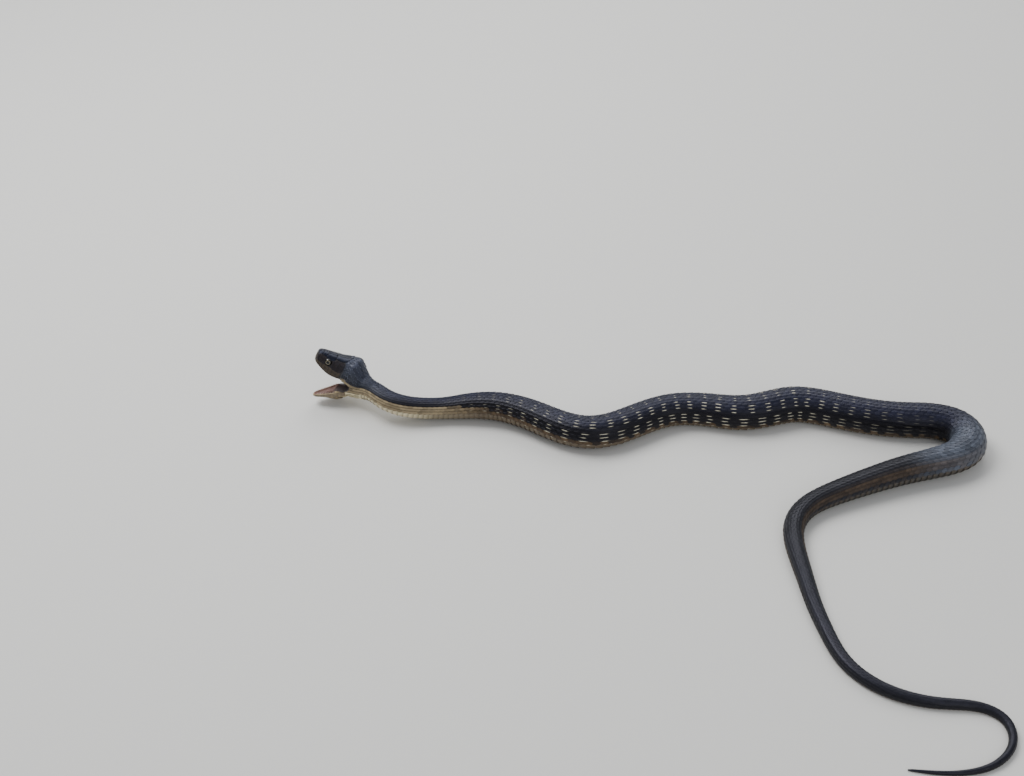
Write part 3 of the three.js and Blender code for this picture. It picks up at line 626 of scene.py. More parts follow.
def row_borders():
    """Girth of the borders between the scale rows of one side, from the back to the belly."""
    widths = [np.full(len(GRID_PLACES), 0.5)]
    for share, end in SCALE_ROWS:
        widths.append(share * (1 - ease(end - ROW_CLOSING, end, GRID_PLACES)))
    borders = np.cumsum(widths, axis=0)
    return borders / borders[-1] * BELLY_GIRTH


BORDERS = row_borders()


def row_place(row, place):
    """Middle and half breadth of a row in girth: row 0 on the back, then down a side to the throat."""
    if row == 0:
        half = np.interp(place, GRID_PLACES, BORDERS[0])
        return 0 * half, half
    if row > len(SCALE_ROWS):
        edge = np.interp(place, GRID_PLACES, BELLY_GIRTH)
        half = (1 - edge) / (2 * THROAT_ROWS - 1)
        return edge + half * (2 * (row - len(SCALE_ROWS)) - 1), half
    inner = np.interp(place, GRID_PLACES, BORDERS[row - 1])
    outer = np.interp(place, GRID_PLACES, BORDERS[row])
    return (inner + outer) / 2, (outer - inner) / 2


# Markings: how much of each pigment, and of painted sheen and glare, the skin and the scales carry at a place
# and girth

# Short pale dashes lie on the borders between rows, stacked in groups along the flank. Each
# series is [first border, last border, offset along the body in pitches, length share, strength].
STACK_PITCH = 10.8
DASH_SERIES = [
    [0, 0, 0.0, 0.5, 0.9],
    [2, 4, 0.0, 1.0, 1.0],
    [6, 8, 0.5, 1.4, 1.0],
    [9, 9, 0.25, 2.0, 0.9],
]
DASH_HALF_LENGTH = [[90, 0.7], [170, 1.1], [250, 1.4], [944, 1.4]]
DASH_FADE = [
    [30, 0], [90, 0.12], [130, 0.45], [200, 0.9], [350, 1], [385, 0.6], [410, 0.3], [440, 0.12],
    [465, 0], [944, 0],
]
DASH_LOTS = rng.random((len(SCALE_ROWS) + 1, 200, 3))
# What the draws change: the dash's place by a share of the pitch, its length and its strength.
DASH_WANDER = 0.12
DASH_LENGTHS = [0.8, 1.2]
DASH_STRENGTHS = [0.7, 1.0]
DASH_SOFTNESS = 0.35


def dashes(place, border):
    """Strength of the pale dash on a border between rows, at places along the body."""
    strength = np.zeros(np.broadcast(place, border).shape)
    for first, last, offset, length, strongest in DASH_SERIES:
        stack = np.round(place / STACK_PITCH + offset).astype(int)
        lots = DASH_LOTS[np.clip(border, 0, len(SCALE_ROWS)), np.clip(stack, 0, DASH_LOTS.shape[1] - 1)]
        shift, size, tone = np.moveaxis(lots, -1, 0)
        centre = (stack - offset + DASH_WANDER * (shift - 0.5)) * STACK_PITCH
        half = along(DASH_HALF_LENGTH, place) * length * np.interp(size, [0, 1], DASH_LENGTHS)
        inside = ease(half + DASH_SOFTNESS, half - DASH_SOFTNESS, np.abs(place - centre))
        here = (border >= first) & (border <= last)
        tone = strongest * np.interp(tone, [0, 1], DASH_STRENGTHS)
        strength = np.maximum(strength, here * inside * tone)
    return strength * along(DASH_FADE, place)


# Stretches of the body over which a part of its pattern comes or goes.
NECK_GOES = [70, 130]
FORE_GOES = [130, 220]
REAR_COMES = [470, 520]
TAIL_COMES = [640, 720]
THROAT_GOES = [54, 86]
# The bend and the nape turn lighter grey: partly paler stretched skin, partly painted glare and sheen of wet
# scales.
BEND_COMES = [458, 484]
BEND_GOES = [512, 545]
NAPE_GOES = [14, 60]
# The same round the body, as shares of the way from the back's middle to the belly scutes.
TAN_START, FORE_TAN, NECK_TAN, TAN_BLEND = 0.9, 0.1, 0.19, 0.09
SCALLOP = 0.03
STRIPE_COMES = [0.5, 0.66]
STRIPE_GOES = [0.76, 0.92]
CREAM_COMES = [0.97, 1.05]
# Slate blue on the back, partly painted sky sheen, fades out between these shares.
BLUE_GOES = [0.2, 0.6]
NAPE_THINS = [0.5, 0.75]
STRIPE_STRENGTH = 0.4
LEAST_CREAM = 0.04
NECK_CREAM = 0.28
NAPE_STRENGTH = 0.4


def pigments(place, girth):
    """Shares of tan, cream and olive pigment over the dark ground, of slate blue on the back that is partly
    painted sky sheen, and of grey that is partly paler skin and partly painted glare and sheen.
    """
    share = np.abs(girth) / np.interp(place, GRID_PLACES, BELLY_GIRTH)
    neck = 1 - ease(*NECK_GOES, place)
    fore = 1 - ease(*FORE_GOES, place)
    rear = ease(*REAR_COMES, place)
    tail = ease(*TAIL_COMES, place)
    scallop = SCALLOP * np.cos(2 * np.pi * place / STACK_PITCH) * (1 - 0.7 * neck)
    tan_start = TAN_START - FORE_TAN * fore - NECK_TAN * neck + scallop
    tan = ease(tan_start, tan_start + TAN_BLEND, share) * (0.5 + 0.5 * np.maximum(neck, 1 - fore))
    stripe = rear * ease(*STRIPE_COMES, share) * (1 - ease(*STRIPE_GOES, share))
    tan = tan * (1 - 0.85 * rear) + STRIPE_STRENGTH * stripe * (1 - tail)
    throat = 1 - ease(*THROAT_GOES, place)
    cream = LEAST_CREAM + (1 - LEAST_CREAM) * throat
    cream = cream * ease(*CREAM_COMES, share) * (1 - 0.8 * rear)
    cream = np.maximum(cream, NECK_CREAM * tan * neck)
    olive = rear * (1 - 0.6 * tail)
    # Slate blue on the back, partly painted sky sheen on the upward faces.
    blue_and_sheen = (1 - ease(*BLUE_GOES, share)) * (0.8 + 0.2 * neck) * (1 - 0.5 * rear)
    # Lighter grey at the bend and on the nape: partly paler stretched skin, partly painted glare and sheen.
    bend = ease(*BEND_COMES, place) * (1 - ease(*BEND_GOES, place))
    nape = (1 - ease(*NAPE_GOES, place)) * (1 - ease(*NAPE_THINS, share))
    grey_and_sheen = np.maximum(bend, NAPE_STRENGTH * nape)
    return {"tan": tan, "cream": cream, "olive": olive, "blue_and_sheen": blue_and_sheen, "grey_and_sheen": grey_and_sheen}


# Materials


def linear(hex_colour):
    """sRGB hex value as the linear colour that a shader takes."""
    channels = [int(hex_colour[i:i + 2], 16) / 255 for i in (1, 3, 5)]
    return [c / 12.92 if c <= 0.04045 else ((c + 0.055) / 1.055) ** 2.4 for c in channels] + [1]


COLOURS = {"data_type": "RGBA"}
TINTED = {"data_type": "RGBA", "blend_type": "MULTIPLY"}


def fill(node, **inputs):
    """Gives a node's inputs, by name or _number, values, hex colours or other nodes' outputs."""
    for label, value in inputs.items():
        socket = node.inputs[int(label[1:]) if label[0] == "_" else label.replace("_", " ")]
        if isinstance(value, bpy.types.NodeSocket):
            node.id_data.links.new(value, socket)
        else:
            socket.default_value = linear(value) if isinstance(value, str) else value


def add(tree, kind, output, settings=None, **inputs):
    """Adds a shader node with its settings and inputs, and gives one of its outputs."""
    node = tree.nodes.new("ShaderNode" + kind)
    for label, value in (settings or {}).items():
        setattr(node, label, value)
    fill(node, **inputs)
    return node.outputs[output]


def new_material(name):
    """A new material with its tree, its shader, and the place on the object in metres."""
    material = bpy.data.materials.new(name)
    material.use_nodes = True
    tree = material.node_tree
    return material, tree, tree.nodes["Principled BSDF"], add(tree, "TexCoord", "Object")


def painted(tree, base, *coats):
    """Lays colours over a base, each by the share of it that every point carries."""
    for name, colour in coats:
        share = add(tree, "Attribute", "Fac", {"attribute_name": name})
        base = add(tree, "Mix", 2, COLOURS, _0=share, _6=base, _7=colour)
    return base


def pigment_colour(tree, where):
    """Colour of the markings and of the painted sheen, the horn's own tan clouded over a few millimetres."""
    cloud = add(tree, "TexNoise", "Fac", Vector=where, Scale=1 / (2.5 * MM), Detail=3)
    horn = add(tree, "Mix", 2, COLOURS, _0=cloud, _6="#4a3826", _7="#6f5b3e")
    # Over the dark ground: slate blue with painted sky sheen on the back, and grey that is partly paler skin
    # and partly painted glare and sheen.
    return painted(
        tree, "#0c0a0b", ("blue_and_sheen", "#1d1f30"), ("olive", "#212124"), ("grey_and_sheen", "#4d525c"),
        ("tan", horn), ("cream", "#d2c5a0"),
    )


def snake_skin():
    """Snake skin between the scales: thin folded hide, matt, paler where it is stretched."""
    material, tree, shader, where = new_material("snake skin")
    stretched = painted(tree, "#666c80", ("tan", "#857455"), ("cream", "#cdc09c"))
    vessels = add(tree, "TexNoise", "Fac", Vector=where, Scale=1 / (1.6 * MM), Detail=3)
    lining = add(tree, "Mix", 2, COLOURS, _0=vessels, _6="#4a312a", _7="#80594c")
    base = painted(
        tree, pigment_colour(tree, where), ("pale", stretched), ("hood", "#15110e"),
        ("chin", "#a8966f"), ("lining", lining), ("shade", "#1f0f0d"),
    )
    folds = add(tree, "TexNoise", "Fac", Vector=where, Scale=1 / (0.35 * MM), Detail=3)
    relief = add(tree, "Bump", "Normal", Height=folds, Distance=0.08 * MM)
    fill(shader, Base_Color=base, Roughness=0.5, Normal=relief)
    return material


def scale_horn():
    """Keratin scale over pigment: smooth horn worn to a soft gloss, with a sheen of moisture."""
    material, tree, shader, where = new_material("keeled scale horn")
    lot, edge, tan, dash = (
        add(tree, "Attribute", "Fac", {"attribute_name": name}) for name in ("lot", "edge", "tan", "dash")
    )
    tint = add(tree, "MapRange", 0, Value=lot, To_Min=0.72, To_Max=1.3)
    base = add(tree, "Mix", 2, TINTED, _0=1.0, _6=pigment_colour(tree, where), _7=tint)
    rim = add(tree, "MapRange", 0, Value=edge, From_Min=0.7, From_Max=1.0, To_Max=0.75)
    seam = add(tree, "Math", 0, {"operation": "MULTIPLY"}, _0=rim, _1=tan)
    base = add(tree, "Mix", 2, COLOURS, _0=seam, _6=base, _7="#1b140e")
    off_border = add(tree, "Math", 0, {"operation": "SUBTRACT"}, _0=edge, _1=1.0)
    off_border = add(tree, "Math", 0, {"operation": "ABSOLUTE"}, _0=off_border)
    beside = add(tree, "MapRange", 0, Value=off_border, From_Min=0.26, From_Max=0.12)
    streak = add(tree, "Math", 0, {"operation": "MULTIPLY"}, _0=beside, _1=dash)
    base = add(tree, "Mix", 2, COLOURS, _0=streak, _6=base, _7="#dcd6bf")
    wear = add(tree, "TexNoise", "Fac", Vector=where, Scale=1 / (0.25 * MM), Detail=3)
    relief = add(tree, "Bump", "Normal", Height=wear, Distance=0.03 * MM)
    fill(shader, Base_Color=base, Roughness=0.4, IOR=1.5, Normal=relief)
    # Reflections tinted blue as a painted stand-in for sky light in the gloss.
    fill(shader, Specular_IOR_Level=0.3, Specular_Tint="#dcddf0")
    return material


def belly_horn():
    """Belly scutes: broad smooth plates, cream to tan, polished by the ground."""
    material, tree, shader, where = new_material("belly scute horn")
    cloud = add(tree, "TexNoise", "Fac", Vector=where, Scale=1 / (3.0 * MM), Detail=3)
    tan = add(tree, "Mix", 2, COLOURS, _0=cloud, _6="#423423", _7="#5c4b35")
    base = painted(tree, tan, ("cream", "#ddd0ab"), ("olive", "#2f2a25"))
    # Painted shade at each scute's root, where the scute before it lies over it.
    root = add(tree, "Attribute", "Fac", {"attribute_name": "root"})
    shaded = add(tree, "MapRange", 0, Value=root, From_Max=0.5, To_Min=0.6, To_Max=0.0)
    base = add(tree, "Mix", 2, COLOURS, _0=shaded, _6=base, _7="#4a3d2a")
    fill(shader, Base_Color=base, Roughness=0.4, IOR=1.54)
    return material


def shield_horn():
    """Head shields: larger horn plates, slate on the crown and brown on the sides."""
    material, tree, shader, where = new_material("head shield horn")
    base = painted(tree, "#12141e", ("brown", "#181315"), ("lip", "#8f8066"), ("seam", "#0d0b0a"))
    cloud = add(tree, "TexNoise", "Fac", Vector=where, Scale=1 / (1.2 * MM), Detail=3)
    mottle = add(tree, "MapRange", 0, Value=cloud, From_Min=0.3, From_Max=0.7, To_Min=0.75, To_Max=1.25)
    base = add(tree, "Mix", 2, TINTED, _0=1.0, _6=base, _7=mottle)
    wear = add(tree, "TexNoise", "Fac", Vector=where, Scale=1 / (0.3 * MM), Detail=3)
    relief = add(tree, "Bump", "Normal", Height=wear, Distance=0.03 * MM)
    fill(shader, Base_Color=base, Roughness=0.35, IOR=1.5, Normal=relief)
    # Reflections tinted blue as a painted stand-in for sky light in the gloss.
    fill(shader, Specular_IOR_Level=0.34, Specular_Tint="#c3cdf0")
    return material


def eye_glaze():
    """Eye under its clear fixed scale: gold iris with fine spokes, round pupil, wet gloss."""
    material, tree, shader, where = new_material("glazed eye")
    off_axis = add(tree, "Attribute", "Fac", {"attribute_name": "off_axis"})
    spokes = add(tree, "TexNoise", "Fac", Vector=where, Scale=1 / (0.18 * MM))
    gold = add(tree, "Mix", 2, COLOURS, _0=spokes, _6="#4f4832", _7="#8a8062")
    rim = add(tree, "MapRange", 0, Value=off_axis, From_Min=0.53, From_Max=0.61)
    iris = add(tree, "Mix", 2, COLOURS, _0=rim, _6=gold, _7="#14110e")
    pupil = add(tree, "MapRange", 0, Value=off_axis, From_Min=0.42, From_Max=0.46)
    base = add(tree, "Mix", 2, COLOURS, _0=pupil, _6="#050506", _7=iris)
    fill(shader, Base_Color=base, Roughness=0.15, Specular_IOR_Level=0.1)
    fill(shader, Coat_Weight=1.0, Coat_Roughness=0.03)
    return material


def tooth_enamel():
    """Tooth enamel: ivory, a little translucent and wet."""
    material, tree, shader, where = new_material("tooth enamel")
    cloud = add(tree, "TexNoise", "Fac", Vector=where, Scale=1 / (0.5 * MM), Detail=3)
    base = add(tree, "Mix", 2, COLOURS, _0=cloud, _6="#d8cdb4", _7="#efe8d8")
    fill(shader, Base_Color=base, Roughness=0.2, IOR=1.62)
    return material


skin_finish = snake_skin()
scale_finish = scale_horn()
belly_finish = belly_horn()
shield_finish = shield_horn()
eye_finish = eye_glaze()
tooth_finish = tooth_enamel()

# The skin

SKIN_STEP = 1.5
SKIN_SIDES = 72
FRONT_STEP = 0.7
FRONT_END = 54
FRONT_TAPER = 0.03
JOIN_START = 50
VOXEL = 0.36
SOFTENINGS = 4
SKIN_OFF_FLOOR = 0.3
HEAD_SKIN_DEPTH = 0.12
HEAD_TO_NECK = [2, -8]
# Places and points of the rings that the head's and the jaw's skin is lofted from.
HEAD_RING_PLACES = [*np.arange(-10, 19.5, 0.6), 19.7, 20.0, 20.2, 20.4, SNOUT]
JAW_RING_PLACES = [*np.arange(-5, 23.1, 0.6), 23.5, 24.0, 24.3, JAW_LENGTH]
HEAD_RING_POINTS = 61
JAW_RING_POINTS = 49
MOUTH_RING_POINTS = 29
# The mouth's roof and floor start this high over the lips, with at least this half breadth. The
# roof rises this far at most, and both close towards the tips of head and jaw.
UPPER_RIM = 0.25
LOWER_RIM = 0.15
NARROWEST_MOUTH = 0.3
MOST_ROOF = 1.5
ROOF_CLOSES = [15, 20]
ROOF_CLOSING = 0.4
FLOOR_CLOSES = [20, JAW_LENGTH]
SOCKET_PLAY = 0.05
# Where the mouth's lining shows: its reach along the head or jaw, how far it stays from the
# sides, how much it faces into the mouth, and its play over the lip and past palate or floor.
ROOF_LINING = {"reach": [-8, 19], "inset": 0.8, "facing": -0.1, "over_lip": 0.15, "play": 0.6}
FLOOR_LINING = {"reach": [-2, 23.6], "inset": 0.7, "facing": 0.15, "over_lip": 0.3, "play": 0.8}
HOLLOW_PLAY = 0.5
HOLLOW_BREADTH = 9
MOST_OUTWARD = 0.35
DEEP_COMES = [4, -6]
DEEPEST_SHADE = 0.9
# Stretches of the head and neck over which the skin's own colours come or go.
JAW_SKIN_TOP = 4
UNDER_LIP = 2
CHIN_COMES = [0, 4]
HOOD_COMES = [-3, 1]
PALE_GOES = [36, 80]
PALE_THINS = [-7, -3]
MOST_PALE = 0.9


def round_angles():
    return np.linspace(-np.pi, np.pi, SKIN_SIDES, endpoint=False)


def front_rings():
    """Throat and neck from the mouth's corners back, tapered inside the body at their end."""
    forward, side, back, centre = body_frame(THROAT_START)
    left, up = body_section(THROAT_START, round_angles())
    middle = (up.max() + up.min()) / 2
    rings = [
        centre + forward * reach + np.outer(left * size, side)
        + np.outer(middle + (up - middle) * size, back)
        for reach, size in MOUTH_CORNER
    ]
    for place in np.arange(THROAT_START, FRONT_END + 0.1, FRONT_STEP):
        left, up = body_section(place, round_angles())
        _, side, back, centre = body_frame(place)
        size = 1 - FRONT_TAPER * ease(JOIN_START, FRONT_END, place)
        rings.append(centre + np.outer(left * size, side) + np.outer(up * size, back))
    for ring in rings:
        ring[:, 2] = np.maximum(ring[:, 2], 0)
    return rings


def upper_head_rings():
    angle = np.linspace(-np.pi / 2, np.pi / 2, HEAD_RING_POINTS)
    across = np.linspace(-1, 1, MOUTH_RING_POINTS)
    arch = (1 - across**2) ** MOUTH_SQUARENESS
    share = np.maximum(np.cos(angle), 0) ** CROWN_SQUARENESS
    rings = []
    for x in HEAD_RING_PLACES:
        outer = cheek_surface(np.full_like(share, x), share, -np.sign(angle))
        inner = along(HEAD_WIDTH, x) + along(LIP_FLARE, x) - LIP_THICKNESS
        lip = along(UPPER_LIP, x)
        roof = min(PALATE, lip + MOST_ROOF) + ROOF_CLOSING * ease(*ROOF_CLOSES, x) * (lip - PALATE)
        breadth = max(inner, NARROWEST_MOUTH) * across
        under = np.stack([np.full_like(across, x), breadth, lip + UPPER_RIM + (roof - lip) * arch], axis=-1)
        rings.append(head_point(np.concatenate([outer, under])))
    return rings


def lower_jaw_rings():
    angle = np.linspace(-np.pi / 2, np.pi / 2, JAW_RING_POINTS)
    across = np.linspace(1, -1, MOUTH_RING_POINTS)
    dip = (1 - across**2) ** MOUTH_SQUARENESS
    share = np.maximum(np.cos(angle), 0) ** KEEL_SQUARENESS
    rings = []
    for x in JAW_RING_PLACES:
        outer = jaw_surface(np.full_like(share, x), share, np.sign(angle))
        lip = along(JAW_LIP, x)
        breadth = max(along(JAW_WIDTH, x) - LIP_THICKNESS, NARROWEST_MOUTH) * across
        floor = JAW_FLOOR + (lip - 2 * LOWER_RIM - JAW_FLOOR) * ease(*FLOOR_CLOSES, x)
        top = np.stack([np.full_like(across, x), breadth, lip + LOWER_RIM + (floor - lip) * dip], axis=-1)
        rings.append(jaw_point(np.concatenate([outer, top])))
    return rings


def ball(name, centre, size, to_world, sides=40):
    """Rounded form of three half sizes at a place of the head or jaw."""
    polar = np.linspace(0, np.pi, sides // 2 + 1)[1:-1]
    turn = np.linspace(0, 2 * np.pi, sides, endpoint=False)
    rings = []
    for angle in polar:
        rim = np.sin(angle) * np.stack([np.cos(turn), np.sin(turn)])
        ring = np.stack([np.full(sides, np.cos(angle)), *rim], axis=-1)
        rings.append(to_world(np.array(centre) + ring * np.array(size)))
    return loft(name, rings)


def combine(piece, other, operation):
    """Joins another closed piece to this one, or cuts it away, and removes it."""
    step = piece.modifiers.new("combine", "BOOLEAN")
    step.object = other
    step.operation = operation
    step.solver = "MANIFOLD"
    settle(piece)
    bpy.data.objects.remove(other)


def settle(piece):
    """Replaces the piece's mesh by what its modifiers make of it."""
    depsgraph = bpy.context.evaluated_depsgraph_get()
    mesh = bpy.data.meshes.new_from_object(piece.evaluated_get(depsgraph))
    piece.modifiers.clear()
    piece.data = mesh


def front_skin():
    """Head, open mouth, throat and neck as one closed skin with softened joins."""
    front = loft("snake_skin", front_rings())
    combine(front, loft("upper", upper_head_rings()), "UNION")
    combine(front, loft("lower", lower_jaw_rings()), "UNION")
    glottis = [WINDPIPE_PLACE, 0, JAW_FLOOR + WINDPIPE_RISE]
    combine(front, ball("windpipe", glottis, WINDPIPE_SIZE, jaw_point), "UNION")
    combine(front, ball("gullet", GULLET_PLACE, GULLET_SIZE, head_point), "DIFFERENCE")
    combine(front, ball("gape", GAPE_PLACE, GAPE_SIZE, head_point), "DIFFERENCE")
    combine(front, ball("lip gap", LIP_GAP_PLACE, LIP_GAP_SIZE, jaw_point), "DIFFERENCE")
    for place, radius in ((EYE_PLACE, EYE_RADIUS + SOCKET_PLAY), (NOSTRIL_PLACE, NOSTRIL_RADIUS)):
        for side in (1, -1):
            pit = ball("pit", np.array(place) * [1, side, 1], [radius] * 3, head_point)
            combine(front, pit, "DIFFERENCE")
    remesh = front.modifiers.new("even skin", "REMESH")
    remesh.mode = "VOXEL"
    remesh.voxel_size = VOXEL * MM
    soften = front.modifiers.new("soften", "SMOOTH")
    soften.factor = 0.5
    soften.iterations = SOFTENINGS
    settle(front)
    return front


def mesh_arrays(piece):
    mesh = piece.data
    points = np.zeros(len(mesh.vertices) * 3)
    mesh.vertices.foreach_get("co", points)
    normals = np.zeros(len(mesh.vertices) * 3)
    mesh.vertex_normals.foreach_get("vector", normals)
    return points.reshape(-1, 3) / MM, normals.reshape(-1, 3)


def sunk(piece, depth):
    """Moves the piece's points inwards along their normals."""
    points, normals = mesh_arrays(piece)
    points = points - normals * np.asarray(depth)[:, None]
    points[:, 2] = np.maximum(points[:, 2], SKIN_OFF_FLOOR)
    piece.data.vertices.foreach_set("co", (points * MM).ravel())
    piece.data.update()


def rear_skin():
    places = np.append(np.arange(JOIN_START, BODY_END - 1, SKIN_STEP), [BODY_END - 1, BODY_END])
    girths = np.linspace(-1, 1, SKIN_SIDES, endpoint=False)
    slim = np.minimum(along(HALF_WIDTH, places) / SLENDER, 1)
    points = body_point(places[:, None], girths[None, :], -COAT_DEPTH * slim[:, None] + 0 * girths)
    points[..., 2] = np.maximum(points[..., 2], SKIN_OFF_FLOOR)
    return loft("rear", list(points))


def head_depth(points):
    """The head's skin lies close under its shields, the neck's deeper under its scales."""
    return np.interp(ease(*HEAD_TO_NECK, to_head(points)[:, 0]), [0, 1], [HEAD_SKIN_DEPTH, COAT_DEPTH])


def nearest_place(points):
    """Place and girth of the nearest of every second grid point on each ring."""
    coarse = GRID[:, ::2]
    tree = search_tree(coarse.reshape(-1, 3))
    found = np.array([tree.find(point)[1] for point in points])
    return found // coarse.shape[1], GIRTHS[::2][found % coarse.shape[1]]


def within(value, reach):
    return (value > reach[0]) & (value < reach[1])


def mouth_lining(points, normals):
    """Share of mouth lining, and of darkness deep in the mouth, at points of the skin."""
    head = to_head(points)
    x, y, z = head.T
    jaw_x, jaw_y, jaw_z = to_jaw(points).T
    facing = normals @ HEAD_AXES.T
    jaw_up = (to_jaw(points + normals) - to_jaw(points))[:, 2]
    inner = along(HEAD_WIDTH, x) + along(LIP_FLARE, x) - ROOF_LINING["inset"]
    roof = within(x, ROOF_LINING["reach"]) & (np.abs(y) < inner) & (facing[:, 2] < ROOF_LINING["facing"])
    roof &= (z < PALATE + ROOF_LINING["play"]) & (z > along(UPPER_LIP, x) + ROOF_LINING["over_lip"])
    inner = along(JAW_WIDTH, jaw_x) - FLOOR_LINING["inset"]
    floor = within(jaw_x, FLOOR_LINING["reach"]) & (np.abs(jaw_y) < inner) & (jaw_up > FLOOR_LINING["facing"])
    floor &= jaw_z > JAW_FLOOR - FLOOR_LINING["play"]
    floor &= jaw_z < along(JAW_LIP, jaw_x) + FLOOR_LINING["over_lip"]
    hollow = np.zeros(len(x), bool)
    for place, size in ((GULLET_PLACE, GULLET_SIZE), (GAPE_PLACE, GAPE_SIZE)):
        local = head - place
        near = ((local / (np.array(size) + HOLLOW_PLAY)) ** 2).sum(axis=-1) < 1
        hollow |= near & ((facing * local).sum(axis=-1) < 0)
    hollow &= (np.abs(y) < HOLLOW_BREADTH) & (facing[:, 1] * np.sign(y) < MOST_OUTWARD)
    return (roof | floor | hollow).astype(float), DEEPEST_SHADE * hollow * ease(*DEEP_COMES, x)


def finish_skin(skin):
    points, normals = mesh_arrays(skin)
    place, girth = nearest_place(points)
    shares = pigments(place, girth)
    x, _, z = to_head(points).T
    jaw_x, _, jaw_z = to_jaw(points).T
    on_jaw = (jaw_x > 0) & (jaw_z < JAW_SKIN_TOP) & (z < along(UPPER_LIP, x) - UNDER_LIP)
    shares["chin"] = on_jaw * ease(*CHIN_COMES, jaw_x)
    shares["hood"] = ease(*HOOD_COMES, x) * ~on_jaw
    shares["pale"] = MOST_PALE * (1 - ease(*PALE_GOES, place)) * (1 - 0.6 * ease(*PALE_THINS, x))
    shares["lining"], shares["shade"] = mouth_lining(points, normals)
    finished(skin, shares, skin_finish)


def make_skin():
    skin = front_skin()
    points, _ = mesh_arrays(skin)
    sunk(skin, head_depth(points))
    combine(skin, rear_skin(), "UNION")
    finish_skin(skin)
    return skin


skin = make_skin()

# Scales of the body

# Scales are laid on the skin up to this place, and less and less over the last stretch.
DRAPE_END = 46
DRAPE_FADE = 6
# A scale is left out where the skin lies farther than this from its place, as over the mouth,
# or where more than a share of its points lie on the mouth's lining.
FARTHEST_DRAPE = 2.2
MOST_LINING = 0.3
LEAST_COVER = 0.34
# Scales behind the cheeks: their first and last place on the head and the step between rows, the
# same round the head as shares of the crown's arc, and the length and half breadth of one.
TEMPLE_REACH = [-0.2, -9, -1.7]
TEMPLE_SHARES = [0.3, 1.0, 0.105]
TEMPLE_SCALE = [3.0, 1.15]
FARTHEST_TEMPLE = 0.7
# A temple scale keeps this far from the middle of any scale of the rows.
TEMPLE_GAP = 1.25
# Cover of the scales where the throat is stretched, and where it grows to the full.
STRETCHED_COVER = 0.86
COVER_COMES = [8, 45]
TAIL_TIP_BARE = 3
# Least height over the floor of a scale's tip, and what its root and its inner side add.
TIP_OFF_FLOOR = 0.02
ROOT_OFF_FLOOR = 0.16
INNER_OFF_FLOOR = 0.08


class Drape:
    """Lays points of the body's grid on the skin where the neck widens into the head."""

    def __init__(self, piece):
        self.points, self.normals = mesh_arrays(piece)
        self.faces = [list(face.vertices) for face in piece.data.polygons]
        self.tree = BVHTree.FromPolygons(self.points.tolist(), self.faces)
        self.lining = mouth_lining(self.points, self.normals)[0]

    def place(self, points, rise):
        """Laid points, how far each had to move, and which lie on the mouth's lining."""
        laid = np.empty_like(points)
        moved = np.empty(len(points))
        lined = np.empty(len(points))
        for i, (point, height) in enumerate(zip(points, rise)):
            spot, _, face, distance = self.tree.find_nearest(Vector(point))
            normal = unit(self.normals[self.faces[face]].mean(axis=0))
            laid[i] = np.array(spot) + normal * height
            moved[i] = distance
            lined[i] = self.lining[self.faces[face]].max()
        return laid, moved, lined


drape = Drape(skin)


def laid_scales(scales, rise, farthest):
    """Scales laid on the skin, each a row of the template's points, and whether they lie well."""
    flat = scales.reshape(-1, 3)
    heights = np.broadcast_to(rise, scales.shape[:-1]).ravel()
    laid, moved, lined = drape.place(flat, heights + np.maximum(head_depth(flat), LEAST_COVER))
    near = moved.reshape(scales.shape[:-1]).max(axis=1) < farthest
    outside = lined.reshape(scales.shape[:-1]).mean(axis=1) < MOST_LINING
    return laid.reshape(scales.shape), near & outside


def temple_scales():
    """Scales behind the cheeks, where the turned head leaves the neck's rows."""
    batches = []
    length, half = TEMPLE_SCALE
    for side in (1, -1):
        for number, x in enumerate(np.arange(*TEMPLE_REACH)):
            share = (np.arange(*TEMPLE_SHARES) + 0.5 * TEMPLE_SHARES[2] * (number % 2))[:, None]
            lengthwise = x - length * SCALE_ALONG + 0 * share
            around = share + SCALE_ACROSS * SCALE_HALF * half / HEAD_ARC
            points = head_point(head_side(lengthwise, np.clip(around, 0, 1), side))
            laid, kept = laid_scales(points, template_rise(1.0), FARTHEST_TEMPLE)
            batches.append(laid[kept])
    return np.concatenate(batches)


def template_rise(keeled):
    """Height of each of the template's points over the skin's full body."""
    across = np.abs(SCALE_ACROSS)
    rise = -ROOT_DEPTH + (ROOT_DEPTH + TIP_RISE) * SCALE_ALONG**RISE_POWER
    rise = rise - SCALE_CAMBER * across**2
    keel = np.where(across == 0, 1.0, 0.0) * KEEL_RISE * ease(*KEEL_COMES, SCALE_ALONG)
    return rise + keel * keeled - SCALE_LOWER * SCALE_THICKNESS


def on_floor(points, lengthwise, lower):
    """Keeps points over the floor, the free rear edge of each scale lowest."""
    floor = TIP_OFF_FLOOR + ROOT_OFF_FLOOR * (1 - lengthwise) + INNER_OFF_FLOOR * lower
    points[..., 2] = np.maximum(points[..., 2], floor)
    return points


